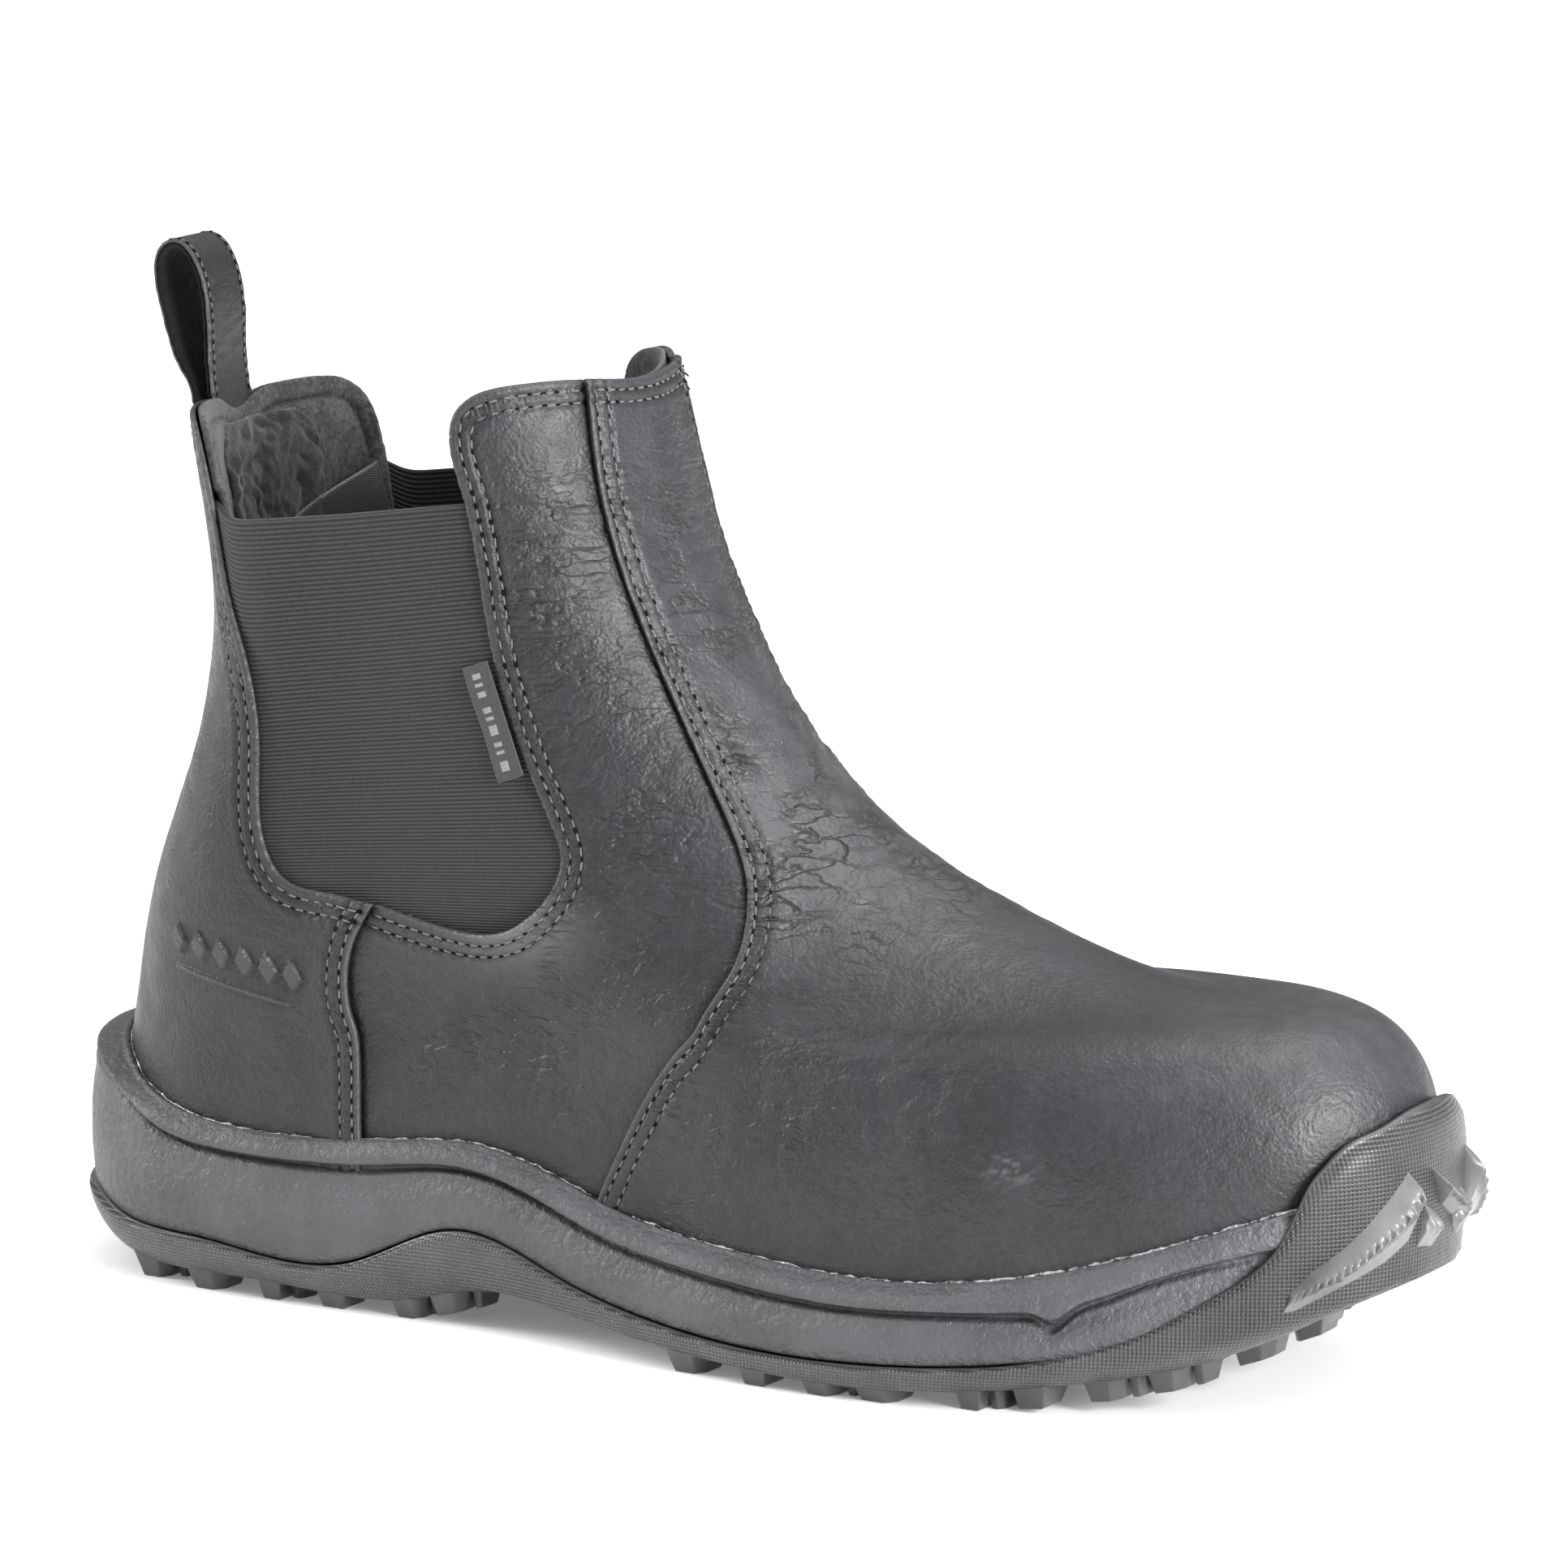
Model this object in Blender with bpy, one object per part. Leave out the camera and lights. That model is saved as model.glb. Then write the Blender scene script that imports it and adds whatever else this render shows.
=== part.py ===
"""Steel toe work boot, right foot, slip-on ankle height.

Every length is in millimetres and goes to metres when a mesh is made.
+X runs from heel to toe, +Z up, and the outer (lateral) side faces -Y.
The upper is described in a chart of two numbers: the angle, in degrees, goes
from the back of the heel (0) along the outer side to the toe (180) and back
along the inner side (360), and the rise, in percent, goes from the sole (0)
to above the collar (100).
"""

import math

import bmesh
import bpy
import numpy as np
from mathutils import Vector
from mathutils.geometry import delaunay_2d_cdt

MM = 0.001
CENTRE_X = 156.26  # boot coordinates count from the back of the heel: this is half the length
CENTRE_Y = -0.3  # the outer side bulges more than the inner side

# Clearances and thicknesses
GAP = 0.3
LAYER_GAP = 1.2  # between the curved layers inside the upper
WALL_GAP = 0.9  # between the upper and the midsole's inner wall
LEATHER = 2.0
STIFFENER = 1.8
LINING = 1.5
GORE_DEPTH = 1.0
GORE = 1.6
BOARD_RISE = 1.25
INNER_RISE = 1.6  # where the pieces standing on the insole board begin
FOOTBED_RISE = 4.0

# Steel cap, its edge strip and the heel counter
CAP_BACK_X = 247.0
STRIP_BACK_X = 240.0
COUNTER_FRONT_ANGLE = 62.0
COUNTER_TOP_Z = 76.0
COUNTER_DROP = 14.0  # its top edge is this much lower at the front ends

# Pull tab
TAB_WIDTH = 15.5
TAB_THICKNESS = 1.7
TAB_LEG_OFFSET = 3.4
TAB_PIVOT_ABOVE_COLLAR = 4.6
COLLAR_BACK_RISE = 88.7
TAIL_HALF_ANGLE = 10.5
TAIL_TOP_RISE = 88.2
GRIP_THICKNESS = 1.2

# Side label
LABEL_WIDTH = 5.0
LABEL_THICKNESS = 0.8

# Lugs
LUG_DEPTH = 4.5
RIM_LUGS_X = (22, 43, 60, 77, 94, 182, 198, 214, 231, 248, 265)
RIM_LUG_INSET = 7.0  # from the outsole's lower edge to the middle of a lug beside it

# Rings of the lasted upper, from sole to collar:
# (back x, back z), (front x, front z), (nose radius at back and front),
# and the half widths at 36, 72, 108 and 144 degrees, outer side then inner side
RINGS = (
    ((9, 20), (299, 27), (34, 40), (35, 38, 50, 37), (35, 33, 44, 43)),
    ((9.5, 34), (305.5, 46), (34, 42), (36, 39, 50, 38), (36, 35, 45, 43)),
    ((10, 43), (305, 62.5), (34, 36), (36, 39, 49, 36.5), (36, 36, 45, 41)),
    ((10.8, 51), (294, 75.5), (33, 27), (35.5, 38.5, 46, 31.5), (35.5, 36.5, 43.5, 36)),
    ((12.3, 59), (265, 77.5), (33, 18), (35, 38.5, 43, 26), (35, 37.5, 42, 28)),
    ((14, 69), (233, 83.5), (32, 16), (34.5, 38.5, 41, 25), (34.5, 38, 40, 26)),
    ((16.5, 80), (204, 95), (31, 17), (34, 38.5, 39.5, 24.5), (34, 38, 39, 25)),
    ((21.8, 96), (176, 112), (30, 19), (32.5, 38, 38, 24.5), (32.5, 38, 38, 25)),
    ((30, 118), (155.5, 135.5), (29, 22), (31, 38, 38, 25), (31, 38, 38, 25)),
    ((34.2, 145), (142.5, 160.5), (28, 25), (30, 38.5, 38.5, 26), (30, 38.5, 38.5, 26)),
    ((30.5, 175), (134.5, 185.5), (28, 28), (30, 41, 40, 27), (30, 41, 40, 27)),
    ((26, 212), (128, 213), (29, 30), (31, 43, 41.5, 28), (31, 43, 41.5, 28)),
)
STATIONS = np.radians([0, 36, 72, 108, 144, 180])
SAG_RING = 4  # the arch of the base dies out at this ring

# Side lines of the sole, as (x, z)
BASE_LINE = ((0, 20), (60, 20), (110, 17.5), (160, 13.5), (200, 11.8), (240, 13.6), (275, 20), (299, 29))
RIM_LINE = (
    (0, 54), (11, 50.5), (28, 42), (47, 37.5), (89, 38), (112, 39.5), (147, 30.5),
    (180, 26), (216, 25), (249, 30), (272, 37), (293, 44), (310, 47),
)
PARTING_LINE = (
    (0, 15), (20, 13), (47, 12.5), (85, 13), (106, 21), (135, 15.5), (155, 11),
    (180, 8.5), (217, 9), (265, 15.5), (287, 21.5), (310, 28),
)
FLOOR_LINE = (
    (0, 15), (20, 13), (47, 12.5), (85, 12.2), (110, 12.2), (135, 11.2), (160, 9.5),
    (180, 8.5), (217, 9), (265, 12.5), (278, 15.6), (290, 19.8), (298, 23.8), (303, 26.5), (310, 29),
)
BOTTOM_LINE = (
    (0, 11), (15, 6.5), (28, 4.6), (60, 4.5), (95, 4.7), (112, 8.6), (135, 8),
    (160, 5.6), (180, 4.5), (225, 4.5), (250, 7.2), (272, 11), (284, 15), (291, 18), (298, 21.9), (305, 26),
)
BUMPER_ANGLE = 34.0  # the toe bumper reaches this far to each side of the toe
BUMPER_TOP_Z = 61.5
BUMPER_THICKNESS = 3.2
BUMPER_ROOT_DEPTH = 5.0  # how far the bumper's foot reaches below the parting line
BUMPER_ROOT_INSET = 3.0  # and how far into the outsole
BUMPER_COLUMNS = 25

# Rings of the sole wall: back x, front x, nose radii, half widths outer side and inner side
SOLE_BOTTOM = (4, 304, (34, 34), (34.5, 39.5, 54, 34), (34.5, 34, 48, 41))
SOLE_PARTING = (1.2, 308.5, (38, 38), (38, 42.5, 56, 38.5), (38, 38, 50.5, 46))
SOLE_BELLY = (0.5, 309.2, (38, 40), (38.8, 43.5, 56.5, 39.5), (38.8, 39, 51, 47))
SOLE_GROOVE = (2.0, 308.2, (37, 40), (38, 42, 54.8, 38.8), (38, 38, 49.5, 46))
SOLE_BEAD = (3.2, 308.6, (37, 40), (38, 42, 54.6, 39.2), (38, 38, 49.3, 46))
SOLE_TIP = (3.2, 306.6, (37, 37), (38, 42, 54, 38), (38, 38, 49, 43.5))

# Outlines in the chart, as (angle, rise), outer side; the inner side is their mirror
GORE_REAR = (
    (44.5, 82.2), (46, 76.5), (53, 70.5), (58.5, 63), (60.5, 52), (62.5, 47.8), (69.5, 45), (76.5, 43.5),
)
GORE_FRONT = (
    (89, 39.8), (98.5, 42), (107, 46.5), (112, 51), (113.8, 60), (114.5, 69), (117.5, 80), (117.5, 82.2),
)
FRONT_LOBE = ((117.2, 86), (119, 89.3), (123, 91), (130, 92), (142, 92.4))
VAMP_SEAM = (
    (154.5, 92.2), (151, 80), (150.3, 68), (148, 58), (142.5, 50.5), (130, 42), (119.5, 36), (108.5, 29.5),
    (97, 20.5), (88, 12.5), (84, 5), (82.5, 0),
)
HEEL_SEAM = ((76.5, 43.5), (71.5, 39), (66, 31), (62.5, 22), (60.3, 12), (60.5, 6), (60.5, 0))
HEEL_COLLAR = (
    (0, COLLAR_BACK_RISE), (10, 88.7), (20, 89.7), (30, 90.2), (37, 89.6), (41.5, 88.0), (43.8, 85.2),
)

CHART_ANGLE_MM = 1.0
CHART_RISE_MM = 1.9

LEATHER_LOOK = ((0.052, 0.053, 0.057), 0.48, 0.0)
ELASTIC_LOOK = ((0.028, 0.028, 0.031), 0.85, 0.0)
FLEECE_LOOK = ((0.040, 0.040, 0.043), 0.95, 0.0)
FOAM_LOOK = ((0.075, 0.076, 0.080), 0.60, 0.0)
RUBBER_LOOK = ((0.050, 0.051, 0.054), 0.42, 0.0)
STEEL_LOOK = ((0.56, 0.57, 0.58), 0.35, 1.0)
BOARD_LOOK = ((0.55, 0.50, 0.42), 0.90, 0.0)
PUFF_LOOK = ((0.30, 0.30, 0.31), 0.70, 0.0)
TAPE_LOOK = ((0.045, 0.046, 0.050), 0.75, 0.0)
SATIN_LOOK = ((0.020, 0.020, 0.022), 0.35, 0.0)


def clear_scene():
    for item in list(bpy.data.objects):
        bpy.data.objects.remove(item, do_unlink=True)


def look(name, values):
    colour, roughness, metallic = values
    material = bpy.data.materials.new(name)
    material.use_nodes = True
    shader = material.node_tree.nodes["Principled BSDF"]
    shader.inputs["Base Color"].default_value = (*colour, 1)
    shader.inputs["Roughness"].default_value = roughness
    shader.inputs["Metallic"].default_value = metallic
    material.diffuse_color = (*colour, 1)
    return material


def spline(place, nodes, values):
    """Natural cubic spline through the values at the nodes, read at each place."""
    nodes = np.asarray(nodes, float)
    values = np.asarray(values, float)
    flat = values.reshape(len(nodes), -1)
    span = np.diff(nodes)
    system = np.eye(len(nodes))
    right = np.zeros_like(flat)
    for i in range(1, len(nodes) - 1):
        system[i, i - 1 : i + 2] = span[i - 1], 2 * (span[i - 1] + span[i]), span[i]
        right[i] = 6 * ((flat[i + 1] - flat[i]) / span[i] - (flat[i] - flat[i - 1]) / span[i - 1])
    bend = np.linalg.solve(system, right)
    place = np.asarray(place, float)
    k = np.clip(np.searchsorted(nodes, place, side="right") - 1, 0, len(nodes) - 2)
    before = (nodes[k + 1] - place)[..., None]
    after = (place - nodes[k])[..., None]
    width = span[k][..., None]
    result = (bend[k] * before**3 + bend[k + 1] * after**3) / (6 * width)
    result += (flat[k] / width - bend[k] * width / 6) * before
    result += (flat[k + 1] / width - bend[k + 1] * width / 6) * after
    return result.reshape(place.shape + values.shape[1:])


def line_height(x, line):
    """Height of a side line, given as (x, z) points, at each x."""
    points = np.array(line, float)
    return spline(np.clip(x, points[0, 0], points[-1, 0]), points[:, 0], points[:, 1])


def fullness(length, radii, widths):
    """Half widths divided by the sine of their stations, with the ends set by the nose radii."""
    ends = [math.sqrt(radius * length / 2) for radius in radii]
    middle = [width / math.sin(station) for width, station in zip(widths, STATIONS[1:5])]
    return [ends[0], *middle, ends[1]]


def half_width(turn, fullnesses):
    """Half width of a ring at each turn (0 to pi); fullnesses has one row for each turn."""
    nodes = np.concatenate([-STATIONS[3:0:-1], STATIONS, 2 * np.pi - STATIONS[-2:-5:-1]])
    rows = np.concatenate([fullnesses[:, 3:0:-1], fullnesses, fullnesses[:, -2:-5:-1]], axis=1)
    basis = spline(turn, nodes, np.eye(len(nodes)))
    return (basis * rows).sum(axis=1) * np.sin(turn)


def ring_table():
    rows = []
    for (back_x, back_z), (front_x, front_z), radii, outer, inner in RINGS:
        length = math.hypot(front_x - back_x, front_z - back_z)
        ends = [back_x, back_z, front_x, front_z]
        rows.append(ends + fullness(length, radii, outer) + fullness(length, radii, inner))
    table = np.array(rows)
    steps = np.diff(table, axis=0)
    travel = np.hypot(steps[:, 0], steps[:, 1]) + np.hypot(steps[:, 2], steps[:, 3])
    rises = np.concatenate([[0], np.cumsum(travel)])
    return table, 100 * rises / rises[-1]


RING_ROWS, RING_RISES = ring_table()


def last_point(angle, rise):
    """Point of the upper's outer surface at each chart place."""
    angle, rise = np.broadcast_arrays(np.asarray(angle, float), np.asarray(rise, float))
    shape = angle.shape
    turn = np.radians(angle.ravel() % 360)
    rise = rise.ravel()
    row = spline(rise, RING_RISES, RING_ROWS)
    outer_side = turn <= np.pi
    turn = np.where(outer_side, turn, 2 * np.pi - turn)
    across = half_width(turn, np.where(outer_side[:, None], row[:, 4:10], row[:, 10:16]))
    along = (1 - np.cos(turn)) / 2
    x = row[:, 0] + (row[:, 2] - row[:, 0]) * along
    z = row[:, 1] + (row[:, 3] - row[:, 1]) * along
    base = RING_ROWS[0]
    base_x = base[0] + (base[2] - base[0]) * along
    base_z = base[1] + (base[3] - base[1]) * along
    fade = np.clip(1 - rise / RING_RISES[SAG_RING], 0, 1) ** 2
    z = z + (line_height(base_x, BASE_LINE) - base_z) * fade
    y = np.where(outer_side, -across, across)
    return np.stack([x, y, z], axis=-1).reshape(shape + (3,))


def last_normal(angle, rise):
    small = 0.01
    around = last_point(np.asarray(angle) + small, rise) - last_point(np.asarray(angle) - small, rise)
    up = last_point(angle, np.asarray(rise) + small) - last_point(angle, np.asarray(rise) - small)
    normal = np.cross(around, up)
    return normal / np.linalg.norm(normal, axis=-1, keepdims=True)


def body_point(angle, rise, depth):
    """Point of the upper, this deep under its outer surface; a negative depth is outside it."""
    return last_point(angle, rise) - np.asarray(depth, float)[..., None] * last_normal(angle, rise)


def rise_at(angle, height):
    """The rise at which the outer surface reaches a height."""
    rises = np.linspace(0, 100, 401)
    return float(np.interp(height, last_point(np.full(401, float(angle)), rises)[:, 2], rises))


def angle_at(rise, x):
    """The outer side angle at which a ring passes x."""
    row = spline(np.array([float(rise)]), RING_RISES, RING_ROWS)[0]
    share = np.clip((x - row[0]) / (row[2] - row[0]), 0, 1)
    return math.degrees(math.acos(1 - 2 * share))


def smooth_step(value, start, end):
    share = np.clip((np.asarray(value, float) - start) / (end - start), 0, 1)
    return share * share * (3 - 2 * share)


def lining_depth(angle, rise):
    """Depth of the lining's outer face: deeper where the steel cap or the counter lies over it."""
    point = last_point(angle, rise)
    over_cap = smooth_step(point[..., 0], 214, 229)
    over_counter = smooth_step(-point[..., 0], -94, -80) * smooth_step(-point[..., 2], -96, -80)
    return LEATHER + LAYER_GAP + (STIFFENER + LAYER_GAP) * np.maximum(over_cap, over_counter)


def add_object(name, vertices, faces, values, smooth=True):
    mesh = bpy.data.meshes.new(name)
    shifted = (np.asarray(vertices, float) - (CENTRE_X, CENTRE_Y, 0)) * MM
    mesh.from_pydata(shifted.tolist(), [], [list(face) for face in faces])
    work = bmesh.new()
    work.from_mesh(mesh)
    bmesh.ops.recalc_face_normals(work, faces=work.faces)
    work.to_mesh(mesh)
    work.free()
    if smooth:
        mesh.shade_smooth()
        mesh.set_sharp_from_angle(angle=math.radians(35))
    item = bpy.data.objects.new(name, mesh)
    bpy.context.scene.collection.objects.link(item)
    mesh.materials.append(look(name + "_look", values))
    return item


def mirrored(points):
    return [(360 - angle, rise) for angle, rise in reversed(points)]


def even_loop(outline, cell):
    """The closed outline, each of its straight runs divided evenly."""
    corners = np.array(outline, float) * (CHART_ANGLE_MM, CHART_RISE_MM)
    points = []
    for start, end in zip(corners, np.roll(corners, -1, axis=0)):
        steps = max(1, round(float(np.linalg.norm(end - start)) / cell))
        points += [start + (end - start) * i / steps for i in range(steps)]
    return np.array(points)


def inside(points, loop):
    """Which points lie inside the closed loop."""
    found = np.zeros(len(points), bool)
    for (ax, ay), (bx, by) in zip(loop, np.roll(loop, -1, axis=0)):
        crosses = (ay > points[:, 1]) != (by > points[:, 1])
        rate = (bx - ax) / (by - ay) if by != ay else 0.0
        found ^= crosses & (points[:, 0] < ax + rate * (points[:, 1] - ay))
    return found


def filled(loop, cell):
    """Points and triangles that fill the loop; the loop's own points come first."""
    low = loop.min(axis=0)
    high = loop.max(axis=0)
    grid = np.stack(np.meshgrid(np.arange(low[0], high[0], cell), np.arange(low[1], high[1], cell)), axis=-1)
    grid = grid.reshape(-1, 2)
    grid = grid[inside(grid, loop)]
    away = np.linalg.norm(grid[:, None] - loop[None], axis=2).min(axis=1)
    grid = grid[away > 0.6 * cell]
    points = [Vector(point) for point in np.concatenate([loop, grid])]
    edges = [(i, (i + 1) % len(loop)) for i in range(len(loop))]
    found, _, faces, *_ = delaunay_2d_cdt(points, edges, [list(range(len(loop)))], 1, 1e-6)
    return np.array([tuple(point) for point in found]), [tuple(face) for face in faces]


def depth_of(depth, angle, rise):
    return depth(angle, rise) if callable(depth) else np.full(angle.shape, float(depth))


def panel(name, outline, outer, inner, cell, values):
    """A sheet of the upper between two depths, cut to an outline in the chart."""
    loop = even_loop(outline, cell)
    chart, faces = filled(loop, cell)
    angle = chart[:, 0] / CHART_ANGLE_MM
    rise = chart[:, 1] / CHART_RISE_MM
    count = len(loop)
    edge = list(range(count))
    normal = last_normal(angle, rise)
    sides = []
    for depth in (outer, inner):
        points = body_point(angle, rise, depth_of(depth, angle, rise))
        rim = points[edge]
        along = np.roll(rim, -1, axis=0) - np.roll(rim, 1, axis=0)
        inward = np.cross(normal[edge], along)
        inward /= np.linalg.norm(inward, axis=1, keepdims=True)
        turning = np.sign(signed_area(loop))
        points[edge] += inward * turning * GAP * 0.6
        sides.append(points)
    total = len(chart)
    every = [tuple(face) for face in faces]
    every += [tuple(total + i for i in reversed(face)) for face in faces]
    every += [(i, (i + 1) % count, total + (i + 1) % count, total + i) for i in edge]
    return add_object(name, np.concatenate(sides), every, values)


def signed_area(loop):
    following = np.roll(loop, -1, axis=0)
    return float((loop[:, 0] * following[:, 1] - loop[:, 1] * following[:, 0]).sum() / 2)


def heel_outline(bottom):
    side = [*HEEL_COLLAR[1:], *GORE_REAR, *HEEL_SEAM[1:-1], (HEEL_SEAM[-1][0], bottom)]
    return [(-angle, rise) for angle, rise in reversed(side)] + [HEEL_COLLAR[0]] + side


def quarter_outline():
    return [*HEEL_SEAM[:0:-1], HEEL_SEAM[0], *GORE_FRONT, *FRONT_LOBE, *VAMP_SEAM]


def vamp_outline():
    top = [(165, 91.7), (180, 91.5), (195, 91.7)]
    return [*VAMP_SEAM[::-1], *top, *mirrored(VAMP_SEAM[::-1])]


def front_lining_outline():
    side = [(HEEL_SEAM[-1][0], INNER_RISE), *HEEL_SEAM[-2:0:-1], HEEL_SEAM[0], *GORE_FRONT, *FRONT_LOBE]
    front = [(165, 91.7), (180, 91.5), (195, 91.7), (360 - VAMP_SEAM[0][0], 92.2)]
    return [*side, VAMP_SEAM[0], *front, *mirrored(side)]


def gore_outline():
    return [*GORE_REAR, *GORE_FRONT, (100, 81.6), (80, 81.4), (60, 81.8)]


def on_inner_side(outline):
    return [(360 - angle, rise) for angle, rise in reversed(outline)]


def leather_panels():
    panel("vamp", vamp_outline(), 0, LEATHER, 8, LEATHER_LOOK)
    panel("lateral_quarter", quarter_outline(), 0, LEATHER, 9, LEATHER_LOOK)
    panel("medial_quarter", on_inner_side(quarter_outline()), 0, LEATHER, 9, LEATHER_LOOK)
    panel("heel_quarter", heel_outline(0), 0, LEATHER, 9, LEATHER_LOOK)


def elastic_gores():
    inner = GORE_DEPTH + GORE
    panel("lateral_gore", gore_outline(), GORE_DEPTH, inner, 9, ELASTIC_LOOK)
    panel("medial_gore", on_inner_side(gore_outline()), GORE_DEPTH, inner, 9, ELASTIC_LOOK)


def linings():
    def inner(angle, rise):
        return lining_depth(angle, rise) + LINING

    panel("front_lining", front_lining_outline(), lining_depth, inner, 9.5, FLEECE_LOOK)
    panel("heel_lining", heel_outline(INNER_RISE), lining_depth, inner, 11, FLEECE_LOOK)


def crossing(x, rises):
    """Chart places on the outer side where the rings at these rises pass x."""
    return [(angle_at(rise, x), rise) for rise in rises]


def toe_outline(x, bottom):
    """The part of the toe in front of x."""
    rises = np.linspace(20, 60, 81)
    fronts = spline(rises, RING_RISES, RING_ROWS)[:, 2]
    top = float(np.interp(-x, -fronts, rises))
    side = crossing(x, np.linspace(bottom, top - 0.4, 9))
    return side, (180, top)


def toe_stiffeners():
    outer = LEATHER + LAYER_GAP
    cap, cap_top = toe_outline(CAP_BACK_X, INNER_RISE)
    panel("steel_toe_cap", [*cap, cap_top, *mirrored(cap)], outer, outer + STIFFENER, 7, STEEL_LOOK)
    back, back_top = toe_outline(STRIP_BACK_X, INNER_RISE)
    ring = [*back, back_top, *mirrored(back), *mirrored(cap)[::-1], cap_top, *cap[::-1]]
    panel("toe_cap_edge_strip", ring, outer, outer + STIFFENER, 7, PUFF_LOOK)


def heel_counter():
    outer = LEATHER + LAYER_GAP
    side = COUNTER_FRONT_ANGLE
    top = []
    for angle in np.linspace(-side, side, 9):
        height = COUNTER_TOP_Z - COUNTER_DROP * (angle / side) ** 2
        top.append((angle, rise_at(angle, height)))
    outline = [(side, INNER_RISE), (-side, INNER_RISE), *top]
    panel("heel_counter", outline, outer, outer + STIFFENER, 10, PUFF_LOOK)


def stack(name, rings, values):
    """Rings bridged in order, the first and last closed by strips across the boot."""
    count = len(rings[0])
    vertices = np.concatenate(rings)
    faces = []
    for level in range(len(rings) - 1):
        low = level * count
        high = low + count
        for i in range(count):
            j = (i + 1) % count
            faces += [(low + i, low + j, high + j), (low + i, high + j, high + i)]
    for base in (0, (len(rings) - 1) * count):
        half = count // 2
        faces += [(base, base + 1, base + count - 1), (base + half, base + half + 1, base + half - 1)]
        for i in range(1, half - 1):
            across = base + count - i
            faces += [(base + i, base + i + 1, across - 1), (base + i, across - 1, across)]
    return add_object(name, vertices, faces, values)


SOLE_COUNT = 64


def ring_angles():
    return np.arange(SOLE_COUNT) * 360 / SOLE_COUNT


def last_ring(rise, depth):
    angles = ring_angles()
    rises = np.full(SOLE_COUNT, float(rise))
    return body_point(angles, rises, depth_of(depth, angles, rises))


def sole_outline(ring, angle, grow=0.0):
    """Plan of a ring of the sole wall, grown outwards by a margin."""
    back, front, radii, outer, inner = ring
    length = front - back
    sides = np.array([fullness(length, radii, outer), fullness(length, radii, inner)])

    def plan(turn_angle):
        turn = np.radians(np.asarray(turn_angle, float) % 360)
        outer_side = turn <= np.pi
        turn = np.where(outer_side, turn, 2 * np.pi - turn)
        across = half_width(turn, sides[np.where(outer_side, 0, 1)])
        x = back + length * (1 - np.cos(turn)) / 2
        return np.stack([x, np.where(outer_side, -across, across)], axis=-1)

    tangent = plan(np.asarray(angle) + 0.05) - plan(np.asarray(angle) - 0.05)
    outward = np.stack([tangent[:, 1], -tangent[:, 0]], axis=-1)
    outward /= np.linalg.norm(outward, axis=1, keepdims=True)
    return plan(angle) + outward * grow


def sole_ring(ring, line, lift=0.0, grow=0.0):
    plan = sole_outline(ring, ring_angles(), grow)
    return np.column_stack([plan, line_height(plan[:, 0], line) + lift])


def rim_ring(grow, drop):
    """Ring along the upper at the height of the midsole's rim."""
    angles = ring_angles()
    rises = []
    samples = np.linspace(0, 30, 121)
    for angle in angles:
        points = last_point(np.full(121, angle), samples)
        above = points[:, 2] - line_height(points[:, 0], RIM_LINE) + drop
        rises.append(float(np.interp(0, above, samples)))
    return body_point(angles, np.array(rises), np.full(SOLE_COUNT, -grow))


def between(low, high, share):
    return low + (high - low) * share


def shank_strip(name, margin, low, high, values):
    """A strip along the middle of the waist; low and high are its heights above the base line."""
    start, end, width, steps = 62.0, 168.0, 13.0, 12
    vertices = []
    for i in range(steps + 1):
        x = between(start - margin, end + margin, i / steps)
        base = float(line_height(np.array([x]), BASE_LINE)[0])
        half = width / 2 + margin
        for y, z in ((-half, low), (half, low), (half, high), (-half, high)):
            vertices.append((x, y - 1.5, base + z))
    faces = [(0, 1, 2, 3), tuple(4 * steps + i for i in (3, 2, 1, 0))]
    for i in range(steps):
        a = 4 * i
        faces += [(a + k, a + (k + 1) % 4, a + 4 + (k + 1) % 4, a + 4 + k) for k in range(4)]
    return add_object(name, vertices, faces, values)


def boolean(item, tool, operation):
    tool.hide_render = True
    tool.display_type = "WIRE"
    modifier = item.modifiers.new(operation.lower() + "_" + tool.name, "BOOLEAN")
    modifier.operation = operation
    modifier.solver = "EXACT"
    modifier.use_self = True
    modifier.object = tool


def midsole():
    parting = sole_ring(SOLE_PARTING, PARTING_LINE, GAP)
    inset = sole_ring(SOLE_PARTING, FLOOR_LINE, GAP, -7)
    rim_outer = sole_ring(SOLE_BEAD, RIM_LINE, -2.2)
    groove = sole_ring(SOLE_GROOVE, RIM_LINE, -6.0)
    belly = sole_ring(SOLE_BELLY, RIM_LINE)
    belly[:, 2] = between(parting[:, 2], groove[:, 2], 0.55)
    bead_top = rim_ring(WALL_GAP + 1.3, 0.0)
    inner_top = rim_ring(WALL_GAP, 0.4)
    floor = last_ring(0, -WALL_GAP)
    floor[:, 2] -= GAP
    middle = last_ring(2.5, -WALL_GAP)
    rings = [inset, parting, belly, groove, rim_outer, bead_top, inner_top, middle, floor]
    item = stack("midsole", rings, FOAM_LOOK)
    cutter = shank_strip("shank_recess", GAP, -2.3, 1.5, FOAM_LOOK)
    boolean(item, cutter, "DIFFERENCE")
    shank_strip("shank", 0.0, -1.95, -0.45, STEEL_LOOK)


def insole_and_footbed():
    board_depth = LEATHER + LAYER_GAP
    stack("insole_board", [last_ring(0.02, board_depth), last_ring(BOARD_RISE, board_depth)], BOARD_LOOK)

    def clear_of_lining(angle, rise):
        return lining_depth(angle, rise) + LINING + LAYER_GAP + GAP

    rises = (INNER_RISE, (INNER_RISE + FOOTBED_RISE) / 2, FOOTBED_RISE)
    stack("footbed", [last_ring(rise, clear_of_lining) for rise in rises], FLEECE_LOOK)


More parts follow.
